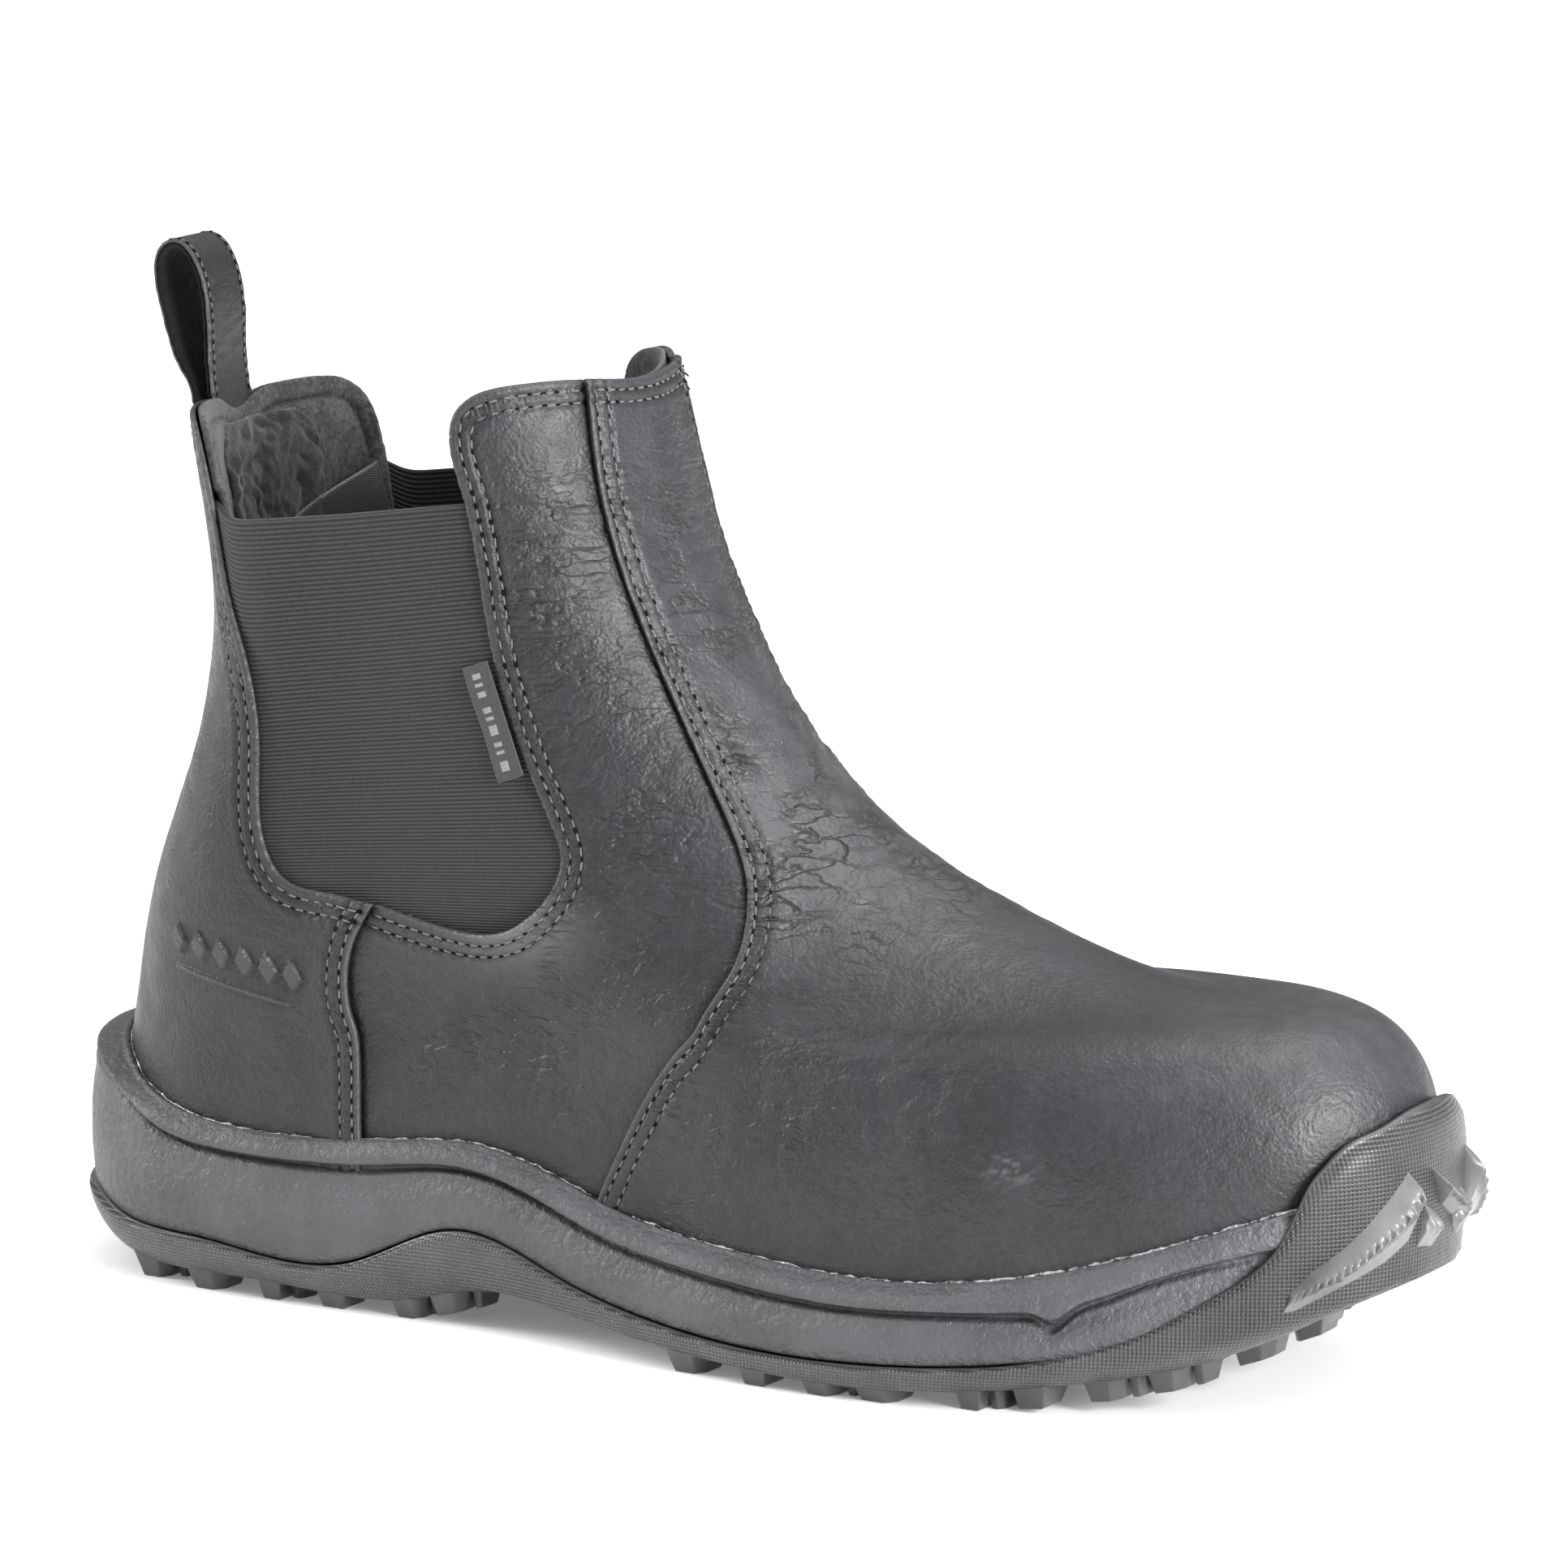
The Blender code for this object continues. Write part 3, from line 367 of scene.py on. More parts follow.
def smooth_line(points, step):
    """Chart places about a step apart on a smooth curve through the points."""
    points = np.array(points, float)
    flat = to_flat(points[:, 0], points[:, 1])
    travel = travelled(flat)
    count = max(2, int(travel[-1] / step) + 1)
    return spline(np.linspace(0, travel[-1], count), travel, points)


def shifted(line, vectors):
    """Chart places moved over the surface by vectors in millimetres."""
    around, up = last_slopes(line[:, 0], line[:, 1])
    aa = (around * around).sum(axis=1)
    ab = (around * up).sum(axis=1)
    bb = (up * up).sum(axis=1)
    va = (vectors * around).sum(axis=1)
    vb = (vectors * up).sum(axis=1)
    area = aa * bb - ab * ab
    return line + np.stack([(va * bb - vb * ab) / area, (vb * aa - va * ab) / area], axis=-1)


def sideways(line):
    """Direction over the surface square to a line of chart places, to the left of its travel."""
    points = last_point(line[:, 0], line[:, 1])
    along = np.gradient(points, axis=0)
    return unit(np.cross(last_normal(line[:, 0], line[:, 1]), along))


def mirrored(points, turn=360):
    """Chart places of the other side, in reversed order; turn 0 mirrors them at the heel."""
    return [(turn - angle, rise) for angle, rise in reversed(points)]


def tree_of(points):
    tree = KDTree(len(points))
    for i, point in enumerate(points):
        tree.insert(point, i)
    tree.balance()
    return tree


def distances(tree, points):
    return np.array([tree.find(point)[2] for point in points])


def inside(points, loop):
    """Which points of the plane lie inside the closed loop."""
    found = np.zeros(len(points), bool)
    for (ax, ay), (bx, by) in zip(loop, np.roll(loop, -1, axis=0)):
        crosses = (ay > points[:, 1]) != (by > points[:, 1])
        rate = (bx - ax) / (by - ay) if by != ay else 0.0
        found ^= crosses & (points[:, 0] < ax + rate * (points[:, 1] - ay))
    return found


# ---------------------------------------------------------------- noise

GRADIENTS = unit(np.random.default_rng(11).normal(size=(256, 3)))
SHUFFLE = np.random.default_rng(5).permutation(256)


def noise(points, size, seed=0):
    """Smooth noise, about -1 to 1, with features of this size (one number or one for each axis)."""
    place = np.asarray(points, float) / np.asarray(size, float) + seed * 31.7
    cell = np.floor(place).astype(int)
    part = place - cell
    fade = part * part * part * (part * (part * 6 - 15) + 10)
    total = np.zeros(len(place))
    for corner in range(8):
        step = np.array([corner & 1, corner >> 1 & 1, corner >> 2 & 1])
        grid = (cell + step) & 255
        key = SHUFFLE[(SHUFFLE[(SHUFFLE[grid[:, 0]] + grid[:, 1]) & 255] + grid[:, 2]) & 255]
        weight = np.where(step, fade, 1 - fade).prod(axis=1)
        total += weight * (GRADIENTS[key] * (part - step)).sum(axis=1)
    return total * 1.6


def furrows(points, direction, size, seed, sharp=2.2):
    """Creases from 0 to 1, their lines running at an angle in the side view; size is (along, across)."""
    turn = math.radians(direction)
    bent = points + 2.2 * np.stack([noise(points, 9, seed + k) for k in (1, 2, 3)], axis=-1)
    along = bent[:, 0] * math.cos(turn) + bent[:, 2] * math.sin(turn)
    across = bent[:, 2] * math.cos(turn) - bent[:, 0] * math.sin(turn)
    sheared = np.stack([along / size[0], across / size[1], bent[:, 1] / size[0]], axis=-1)
    line = np.clip(1 - sharp * np.abs(noise(sheared, 1.0, seed)), 0, 1) ** 1.3
    return line * smooth_step(noise(points, size[0] * 1.3, seed + 7), -0.5, 0.3)


def near(points, centre, reach):
    """1 at a place, falling to 0 round it; reach is one number or one for each axis."""
    gap = (points - np.array(centre)) / np.asarray(reach, float)
    return np.exp(-(gap * gap).sum(axis=1))


# ---------------------------------------------------------------- meshes


def add_mesh(name, points, faces, material, smooth=True, values=None, outward=True):
    """An object from boot coordinates; faces is a list of arrays with 3 or 4 corners."""
    mesh = bpy.data.meshes.new(name)
    points = (np.asarray(points, float) - (CENTRE_X, CENTRE_Y, 0)) * MM
    faces = [np.asarray(group, np.int32) for group in faces if len(group)]
    sizes = np.concatenate([np.full(len(group), group.shape[1]) for group in faces])
    corners = np.concatenate([group.ravel() for group in faces])
    mesh.vertices.add(len(points))
    mesh.vertices.foreach_set("co", points.ravel())
    mesh.loops.add(len(corners))
    mesh.loops.foreach_set("vertex_index", corners)
    mesh.polygons.add(len(sizes))
    mesh.polygons.foreach_set("loop_start", np.concatenate([[0], np.cumsum(sizes)[:-1]]).astype(np.int32))
    mesh.update(calc_edges=True)
    mesh.validate()
    for label, value in (values or {}).items():
        layer = mesh.attributes.new(label, "FLOAT", "POINT")
        layer.data.foreach_set("value", np.asarray(value, np.float32))
    if outward:
        work = bmesh.new()
        work.from_mesh(mesh)
        bmesh.ops.recalc_face_normals(work, faces=work.faces)
        work.to_mesh(mesh)
        work.free()
    mesh.polygons.foreach_set("use_smooth", np.full(len(mesh.polygons), smooth))
    item = bpy.data.objects.new(name, mesh)
    bpy.context.scene.collection.objects.link(item)
    mesh.materials.append(material)
    return item


def place_piece(item, slot, nodes=(), body="boot"):
    """Rides the piece on its body and hides the CAD nodes it stands for."""
    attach(item, body)
    if nodes:
        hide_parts(*nodes)
    return item


def grid_faces(rows, columns, closed=False):
    """Quads of a grid whose points run along the columns first; closed joins the last column to the first."""
    i = np.arange(rows - 1)[:, None] * columns
    j = np.arange(columns if closed else columns - 1)[None, :]
    k = (j + 1) % columns
    return np.stack([i + j, i + k, i + columns + k, i + columns + j], axis=-1).reshape(-1, 4)


# Size over the surface of one percent of rise, by angle and rise
RISE_RATES = np.pad(np.diff(HEIGHTS, axis=1), ((0, 0), (0, 1)), mode="edge")


def closed_sheet(name, top, bottom, shape, material, values):
    """Closed sheet between the points of two faces; shape is their rows and columns."""
    rows, columns = shape
    size = rows * columns
    faces = grid_faces(rows, columns)
    right = np.arange(1, rows) * columns + columns - 1
    far = (rows - 1) * columns + np.arange(columns - 2, -1, -1)
    left = np.arange(rows - 2, 0, -1) * columns
    border = np.concatenate([np.arange(columns), right, far, left])
    following = np.roll(border, -1)
    wall = np.stack([border, following, following + size, border + size], axis=-1)
    points = np.concatenate([top.reshape(-1, 3), bottom.reshape(-1, 3)])
    doubled = {key: np.tile(np.ravel(value), 2) for key, value in values.items()}
    return add_mesh(name, points, [faces, faces[:, ::-1] + size, wall], material, values=doubled)


def field(cell, low, high, first, last):
    """Chart places spread about a cell apart over a part of the upper."""
    step = cell / RISE_RATES.max()
    found = []
    angles = np.arange(first, last + 0.5, 0.5)
    for k, rise in enumerate(np.arange(low + step, high, step)):
        ring = last_point(angles, np.full(len(angles), rise))
        travel = travelled(ring)
        places = np.arange((k * 0.618 % 1) * cell, travel[-1], cell)
        angle = np.interp(places, travel, angles)
        column = ((angle - CHART_ANGLES[0]) / 2).astype(int)
        rate = RISE_RATES[column, min(int(rise), 100)]
        keep = k % np.maximum(1, np.round(cell / (rate * step))).astype(int) == 0
        found.append(np.stack([angle[keep], np.full(int(keep.sum()), rise)], axis=-1))
    return np.concatenate(found)


def triangles_in(loop, extra):
    """Triangles that fill the loop of chart places, using the extra places inside it."""
    flat = to_flat(*np.concatenate([loop, extra]).T)
    points = [Vector(point) for point in flat]
    edges = [(i, (i + 1) % len(loop)) for i in range(len(loop))]
    found, _, faces, *_ = delaunay_2d_cdt(points, edges, [list(range(len(loop)))], 1, 1e-7)
    if len(found) != len(points):
        raise ValueError("an outline crosses itself or repeats a point")
    return np.array([tuple(face) for face in faces])


def halved(chart, faces):
    """Each triangle cut into four, and the place of each edge's middle point by its ends."""
    pairs = np.sort(np.concatenate([faces[:, ends] for ends in ([0, 1], [1, 2], [2, 0])]), axis=1)
    keys = pairs[:, 0] * len(chart) + pairs[:, 1]
    unique, index = np.unique(keys, return_inverse=True)
    ends = np.stack([unique // len(chart), unique % len(chart)], axis=-1)
    middle = len(chart) + index.reshape(3, -1)
    a, b, c = faces.T
    ab, bc, ca = middle
    quarters = ((a, ab, ca), (ab, b, bc), (ca, bc, c), (ab, bc, ca))
    finer = np.concatenate([np.stack(corners, axis=-1) for corners in quarters])
    places = {int(key): len(chart) + n for n, key in enumerate(unique)}
    return np.concatenate([chart, chart[ends].mean(axis=1)]), finer, places


class Side:
    """One side of a panel. Kind is over, under, turned or hidden."""

    def __init__(self, kind, points, step=1.2, fade_start=0.0, fade_end=0.0):
        self.kind = kind
        self.line = smooth_line(points, step)
        self.fade_start = fade_start
        self.fade_end = fade_end
        fine = smooth_line(points, 0.5)
        self.points = last_point(fine[:, 0], fine[:, 1])
        self.tree = tree_of(self.points)

    def cut(self, sign):
        """The side as it is cut: an under side runs on beneath its neighbour."""
        if self.kind != "under":
            return self.line
        points = last_point(self.line[:, 0], self.line[:, 1])
        travel = travelled(points)
        reach = np.full(len(travel), TUCK)
        if self.fade_start:
            reach *= smooth_step(travel, 0, self.fade_start)
        if self.fade_end:
            reach *= smooth_step(travel[-1] - travel, 0, self.fade_end)
        return untangled(shifted(self.line, -sign * sideways(self.line) * reach[:, None]))


def crossing(a, b, c, d):
    """Whether the segments a-b and c-d of the plane cross."""

    def turn(p, q, r):
        return (q[0] - p[0]) * (r[1] - p[1]) - (q[1] - p[1]) * (r[0] - p[0])

    return turn(a, b, c) * turn(a, b, d) < 0 and turn(c, d, a) * turn(c, d, b) < 0


def untangled(line):
    """The line without the small knots that a sideways shift ties in a hollow."""
    flat = to_flat(*line.T)
    kept = [0]
    i = 0
    while i < len(line) - 1:
        following = i + 1
        for j in range(min(i + 40, len(line) - 2), i + 1, -1):
            if crossing(flat[i], flat[i + 1], flat[j], flat[j + 1]):
                following = j + 1
                break
        i = following
        kept.append(i)
    return line[kept]


def without_repeats(line):
    points = last_point(line[:, 0], line[:, 1])
    gap = np.linalg.norm(points - np.roll(points, 1, axis=0), axis=1)
    return line[gap > 0.15]


def signed_area(loop):
    following = np.roll(loop, -1, axis=0)
    return float((loop[:, 0] * following[:, 1] - loop[:, 1] * following[:, 0]).sum() / 2)


class Panel:
    """A piece of the upper: its sides in order, and how high its faces stand over the last."""

    def __init__(self, sides, relief, cell, fine=None):
        self.sides = sides
        self.relief = relief
        self.cell = cell
        self.fine = fine
        visible = np.concatenate([side.line for side in sides])
        self.visible = to_flat(*visible.T)
        self.sign = 1.0 if signed_area(self.visible) > 0 else -1.0

    def heights(self, angle, rise):
        """Heights of the outer and inner faces, and each place's lightening (rubbed edges and painted
        highlight), its creases and its painted shade.
        """
        points = last_point(angle, rise)
        outer, wear_and_highlight, crease = self.relief(points)
        inner = np.full(len(points), -LEATHER)
        edge = np.zeros(len(points))
        shade = np.zeros(len(points))
        hidden = ~inside(to_flat(angle, rise), self.visible)
        for side in self.sides:
            if side.kind == "hidden":
                continue
            gap = distances(side.tree, points)
            if side.kind == "under":
                sink = np.where(hidden & (gap < 1.5 * TUCK), 0.12 + 1.05 * smooth_step(gap, 0, TUCK + 1), 0)
                outer -= sink + 0.5 * np.exp(-gap / 0.9)
                inner -= sink * 0.75
                shade = np.maximum(shade, np.exp(-gap / 0.8))
                continue
            if side.kind == "over":
                lift = LAP_LIFT * (1 - smooth_step(gap, *LAP_FADE))
                outer += lift
                inner += lift
                edge = np.maximum(edge, rounded(gap, CUT_ROUND))
                rows = LAP_ROWS
                wear_and_highlight = np.maximum(wear_and_highlight, 0.5 * np.exp(-gap / 0.6))
            else:
                edge = np.maximum(edge, rounded(gap, TURNED_ROUND))
                inner = np.where(gap < 10, np.maximum(inner, -1.25), inner)
                rows = TURNED_ROWS
                wear_and_highlight = np.maximum(wear_and_highlight, 0.3 * np.exp(-gap / 0.8))
            for row in rows:
                groove = bell(gap - row, 0.6)
                outer -= 0.42 * groove
                shade = np.maximum(shade, 0.75 * groove)
            middle = sum(rows) / 2
            pucker = bell(gap - middle, 0.7) + 0.6 * bell(gap - rows[1] - 1.2, 0.8)
            outer += 0.22 * pucker * (1 + 1.2 * noise(points, 1.5, 4))
            crease = np.maximum(crease, 0.35 * np.exp(-gap / 5))
        looks = {"wear_and_highlight": np.clip(wear_and_highlight, 0, 1), "crease": np.clip(crease, 0, 1), "shade": shade}
        return outer - edge, inner, looks

    def surface(self, angle, rise):
        outer, _, _ = self.heights(angle, rise)
        return body_point(angle, rise, -outer)

    def mesh(self, name, material, slot, node):
        loop = without_repeats(np.concatenate([side.cut(self.sign) for side in self.sides]))
        rows = []
        for side in self.sides:
            if side.kind in ("over", "turned"):
                inward = self.sign * sideways(side.line)
                for offset in EDGE_ROWS:
                    rows.append(shifted(side.line, inward * offset)[1:-1])
        ring = to_flat(*loop.T)
        tree = tree_of(last_point(*loop.T))
        kept = [loop[:0]]
        if rows:
            offsets = np.tile(EDGE_ROWS, len(rows) // len(EDGE_ROWS))
            offsets = np.repeat(offsets, [len(row) for row in rows])
            rows = np.concatenate(rows)
            clear = distances(tree, last_point(*rows.T)) > 0.8 * offsets
            kept.append(rows[clear & inside(to_flat(*rows.T), ring)])
        low, high = loop.min(axis=0), loop.max(axis=0)
        places = field(self.cell, low[1], high[1], low[0], high[0])
        if self.fine is not None:
            places = np.concatenate([places[~self.fine.covers(*places.T)], self.fine.places()])
        places = places[inside(to_flat(*places.T), ring)]
        points = last_point(*places.T)
        clear = distances(tree, points) > 0.75 * self.cell
        if len(kept) > 1 and len(kept[1]):
            clear &= distances(tree_of(last_point(*kept[1].T)), points) > 0.6 * self.cell
        kept.append(places[clear])
        extra = np.concatenate(kept)
        faces = triangles_in(loop, extra)
        coarse = np.concatenate([loop, extra])
        chart, finer, middles = halved(coarse, faces)
        outer, _, looks = self.heights(*chart.T)
        _, inner, _ = self.heights(*coarse.T)
        points = np.concatenate([body_point(*chart.T, -outer), body_point(*coarse.T, -inner)])
        base = len(chart)
        i = np.arange(len(loop))
        j = (i + 1) % len(loop)
        keys = np.minimum(i, j) * len(coarse) + np.maximum(i, j)
        m = np.array([middles[int(key)] for key in keys])
        wall = np.concatenate([
            np.stack([i, m, base + i], axis=-1),
            np.stack([m, base + j, base + i], axis=-1),
            np.stack([m, j, base + j], axis=-1),
        ])
        every = [finer, faces[:, ::-1] + base, wall]
        values = {key: np.concatenate([value, np.zeros(len(coarse))]) for key, value in looks.items()}
        item = add_mesh(name, points, every, material, values=values)
        return place_piece(item, slot, [node])


def rounded(gap, radius):
    """How far a rounded edge has dropped at a distance from it."""
    short = radius - np.minimum(gap, radius)
    return radius - np.sqrt(np.maximum(radius * radius - short * short, 0))


# ---------------------------------------------------------------- materials

SHEEN_ROUGHNESS = 0.5
COAT_ROUGHNESS = 0.35


class Look:
    """A Principled material. Its constant values are on the shader's own sockets."""

    def __init__(self, name, colour, roughness, metallic=0.0, specular=0.5, sheen=0.0, coat=0.0):
        self.material = bpy.data.materials.new(name)
        self.material.use_nodes = True
        self.material.diffuse_color = (*colour, 1)
        self.tree = self.material.node_tree
        self.shader = self.tree.nodes["Principled BSDF"]
        for socket, value in (
            ("Base Color", (*colour, 1)), ("Roughness", roughness), ("Metallic", metallic),
            ("Specular IOR Level", specular), ("Sheen Weight", sheen), ("Sheen Roughness", SHEEN_ROUGHNESS),
            ("Coat Weight", coat), ("Coat Roughness", COAT_ROUGHNESS),
        ):
            self.shader.inputs[socket].default_value = value
        self.here = self.node("TexCoord").outputs["Object"]

    def node(self, kind, feeds=(), **settings):
        """A shader node; feeds pairs its sockets with their sources, settings are constant values."""
        made = self.tree.nodes.new("ShaderNode" + kind)
        for key, value in settings.items():
            if key in made.inputs:
                made.inputs[key].default_value = value
            else:
                setattr(made, key, value)
        for socket, source in feeds:
            self.tree.links.new(source, made.inputs[socket])
        return made

    def feed(self, socket, source):
        self.tree.links.new(source, self.shader.inputs[socket])

    def attribute(self, name):
        return self.node("Attribute", attribute_name=name).outputs["Fac"]

    def stretched(self, scale, turn=0.0):
        """Object coordinates turned about Y and scaled along each axis."""
        mapping = self.node("Mapping", [("Vector", self.here)], Scale=scale, Rotation=(0, turn, 0))
        return mapping.outputs["Vector"]

    def speckle(self, scale, detail=2.0, roughness=0.5, where=None):
        feeds = [("Vector", self.here if where is None else where)]
        return self.node("TexNoise", feeds, Scale=scale, Detail=detail, Roughness=roughness).outputs["Fac"]

    def wave(self, scale, distortion, direction):
        settings = dict(Scale=scale, Distortion=distortion, bands_direction=direction)
        return self.node("TexWave", [("Vector", self.here)], **settings).outputs["Fac"]

    def ramp(self, factor, *stops):
        """Colours, or numbers as greys, along a factor."""
        made = self.node("ValToRGB", [("Fac", factor)])
        elements = made.color_ramp.elements
        while len(elements) < len(stops):
            elements.new(0.5)
        for element, (place, colour) in zip(elements, stops):
            element.position = place
            element.color = (*colour, 1) if isinstance(colour, tuple) else (colour, colour, colour, 1)
        return made.outputs["Color"]

    def mix(self, factor, low, high, kind="MIX"):
        """Colour mix; factor may be a number."""
        made = self.node("Mix", data_type="RGBA", blend_type=kind)
        if isinstance(factor, float):
            made.inputs[0].default_value = factor
        else:
            self.tree.links.new(factor, made.inputs[0])
        self.tree.links.new(low, made.inputs[6])
        self.tree.links.new(high, made.inputs[7])
        return made.outputs[2]

    def times(self, low, high):
        return self.mix(1.0, low, high, "MULTIPLY")

    def calculate(self, operation, *values):
        made = self.node("Math", operation=operation)
        for place, value in enumerate(values):
            if isinstance(value, (int, float)):
                made.inputs[place].default_value = value
            else:
                self.tree.links.new(value, made.inputs[place])
        return made.outputs["Value"]

    def bump(self, height, distance, below=None):
        """Normal of a height over the one below it; distance is the relief's depth in metres."""
        feeds = [("Height", height)]
        if below is not None:
            feeds.append(("Normal", below))
        return self.node("Bump", feeds, Strength=1.0, Distance=distance).outputs["Normal"]


CREASE_LAYERS = ((0.60, (1, 1, 3.0), 36), (-0.10, (1, 1, 3.4), 46), (1.15, (1, 1, 2.2), 64))


def crease_depth(look, amount):
    """Fine creases: thin winding lines where stretched noise passes its middle value."""
    layers = []
    for turn, scale, size in CREASE_LAYERS:
        cloud = look.speckle(size, 3, 0.5, look.stretched(scale, turn))
        layers.append(look.ramp(cloud, (0.470, 0.0), (0.5, 1.0), (0.530, 0.0)))
    lines = look.calculate("MAXIMUM", look.calculate("MAXIMUM", layers[0], layers[1]), layers[2])
    patches = look.ramp(look.speckle(55, 2), (0.44, 0.10), (0.60, 1.0))
    return look.calculate("MULTIPLY", look.calculate("MULTIPLY", lines, patches), amount)


def crackle(look):
    """0 along the edges of small cells, 1 inside them."""
    twist = look.node("TexNoise", [("Vector", look.here)], Scale=150.0, Detail=3.0)
    moved = look.node("VectorMath", operation="MULTIPLY_ADD")
    look.tree.links.new(twist.outputs["Color"], moved.inputs[0])
    moved.inputs[1].default_value = (0.006, 0.006, 0.003)
    look.tree.links.new(look.stretched((0.55, 0.55, 1.25)), moved.inputs[2])
    feeds = [("Vector", moved.outputs["Vector"])]
    net = look.node("TexVoronoi", feeds, Scale=260.0, feature="DISTANCE_TO_EDGE")
    return look.ramp(net.outputs["Distance"], (0.0, 0.0), (0.09, 1.0))


def leather_look():
    look = Look("waxed_leather", (0.05, 0.051, 0.055), 0.48, specular=0.40, coat=0.02)
    cloud = look.speckle(32, 5, 0.6)
    body = look.ramp(cloud, (0.30, (0.0110, 0.0113, 0.0133)), (0.70, (0.0250, 0.0255, 0.0293)))
    body = look.times(body, look.ramp(look.speckle(620, 4, 0.75), (0.3, 0.66), (0.72, 1.3)))
    # Lighter towards one colour where the pieces mark it: real rubbed wear along the edges, and painted
    # highlight on the swelling under the gore corner and up the heel.
    wear_and_highlight_colour = look.node("RGB")
    wear_and_highlight_colour.outputs[0].default_value = (0.12, 0.1215, 0.128, 1)
    body = look.mix(look.attribute("wear_and_highlight"), body, wear_and_highlight_colour.outputs[0])
    crack = crackle(look)
    creased = look.attribute("crease")
    patch = look.calculate("MULTIPLY", creased, 0.6)
    # Painted shade darkens the crackle lines where the leather is creased.
    body = look.mix(patch, body, look.times(body, look.ramp(crack, (0.0, 0.72), (1.0, 1.0))))
    depth = crease_depth(look, creased)
    # Painted shade along the fine crease lines.
    body = look.times(body, look.ramp(depth, (0.0, 1.0), (0.7, 0.5)))
    body = look.times(body, look.ramp(look.attribute("shade"), (0.05, 1.0), (0.9, 0.3)))
    look.feed("Base Color", body)
    look.feed("Roughness", look.ramp(look.speckle(160, 3), (0.3, 0.38), (0.75, 0.54)))
    pebble = look.node("TexVoronoi", [("Vector", look.here)], Scale=1350, feature="SMOOTH_F1")
    normal = look.bump(look.speckle(330, 4, 0.6, look.stretched((1, 1, 1.3))), 0.0004)
    normal = look.bump(look.calculate("MULTIPLY", crack, patch), 0.00016, normal)
    normal = look.bump(look.calculate("SUBTRACT", 1.0, depth), 0.0005, normal)
    normal = look.bump(pebble.outputs["Distance"], 0.00014, normal)
    look.feed("Normal", look.bump(look.speckle(4200, 2), 0.00005, normal))
    return look.material


def thread_look():
    look = Look("bonded_thread", (0.09, 0.09, 0.095), 0.42, specular=0.6, sheen=0.15)
    twist = look.wave(1400.0, 2.0, "DIAGONAL")
    look.feed("Base Color", look.ramp(twist, (0.2, (0.045, 0.045, 0.048)), (0.8, (0.16, 0.16, 0.165))))
    look.feed("Normal", look.bump(twist, 0.00006))
    return look.material


def hole_shade_look():
    # Near-black blobs where the needle went through: painted shade.
    look = Look("needle_hole_shade", (0.004, 0.004, 0.004), 0.9, specular=0.1)
    look.feed("Base Color", look.ramp(look.speckle(2000), (0.4, 0.002), (0.8, 0.010)))
    return look.material


def elastic_look():
    look = Look("ribbed_elastic", (0.028, 0.028, 0.031), 0.7, specular=0.35, sheen=0.1)
    # Painted shade: the valleys between the ribs are much darker than their crests.
    body = look.ramp(look.attribute("rib"), (0.25, (0.003, 0.003, 0.0035)), (0.85, (0.031, 0.031, 0.035)))
    fibre = look.speckle(3000, 2, where=look.stretched((1.0, 1.0, 0.25)))
    look.feed("Base Color", look.times(body, look.ramp(fibre, (0.3, 0.7), (0.7, 1.2))))
    look.feed("Normal", look.bump(look.speckle(3600, 1), 0.00008))
    return look.material


def fleece_look():
    look = Look("brushed_fleece", (0.040, 0.040, 0.043), 0.95, specular=0.1, sheen=0.25)
    tuft = look.speckle(900, 5, 0.7)
    body = look.ramp(tuft, (0.3, (0.008, 0.008, 0.009)), (0.72, (0.080, 0.080, 0.085)))
    body = look.times(body, look.ramp(look.speckle(120, 3), (0.3, 0.6), (0.7, 1.2)))
    body = look.times(body, look.ramp(look.attribute("shade"), (0.1, 1.0), (0.8, 0.25)))
    look.feed("Base Color", body)
    look.feed("Normal", look.bump(look.speckle(3800, 2), 0.00015, look.bump(tuft, 0.0006)))
    return look.material


def suede_look(name, dark, light, sheen):
    look = Look(name, light, 0.92, specular=0.15, sheen=sheen)
    nap = look.speckle(1300, 5, 0.75)
    patches = look.speckle(110, 3)
    shade = look.ramp(patches, (0.3, 0.7), (0.7, 1.15))
    look.feed("Base Color", look.times(look.ramp(nap, (0.3, dark), (0.75, light)), shade))
    look.feed("Normal", look.bump(patches, 0.0012, look.bump(nap, 0.0003)))
    return look.material


def foam_look():
    look = Look("moulded_foam", (0.085, 0.086, 0.091), 0.45, specular=0.65)
    cloud = look.speckle(60, 3)
    look.feed("Base Color", look.ramp(cloud, (0.3, (0.034, 0.035, 0.039)), (0.7, (0.060, 0.061, 0.067))))
    grain = look.speckle(620, 3, 0.6)
    look.feed("Roughness", look.ramp(grain, (0.3, 0.38), (0.7, 0.58)))
    look.feed("Normal", look.bump(look.speckle(2400, 2), 0.00008, look.bump(grain, 0.0008)))
    return look.material


def rubber_look(name, dark, light):
    """Rubber with rows of small raised squares wherever the mesh's grid value is 1."""
    look = Look(name, light, 0.34, specular=0.6, coat=0.15)
    look.feed("Base Color", look.ramp(look.speckle(90, 4), (0.3, dark), (0.72, light)))
    look.feed("Roughness", look.ramp(look.speckle(500, 3), (0.3, 0.26), (0.75, 0.44)))
    waves = []
    for direction in ("wall_u", "wall_v"):
        turn = look.calculate("MULTIPLY", look.attribute(direction), 2 * math.pi)
        waves.append(look.calculate("MULTIPLY_ADD", look.calculate("COSINE", turn), 0.5, 0.5))
    knob = look.calculate("MULTIPLY", look.calculate("MULTIPLY", *waves), look.attribute("grid"))
    look.feed("Normal", look.bump(knob, 0.0009, look.bump(look.speckle(1500, 3), 0.00006)))
    return look.material


def glue_look():
    look = Look("dried_cement", (0.20, 0.20, 0.205), 0.16, specular=0.7, coat=0.5)
    cloud = look.speckle(420, 4, 0.7)
    look.feed("Base Color", look.ramp(cloud, (0.42, (0.012, 0.012, 0.013)), (0.62, (0.42, 0.42, 0.43))))
    look.feed("Normal", look.bump(look.speckle(900, 3), 0.0004))
    return look.material


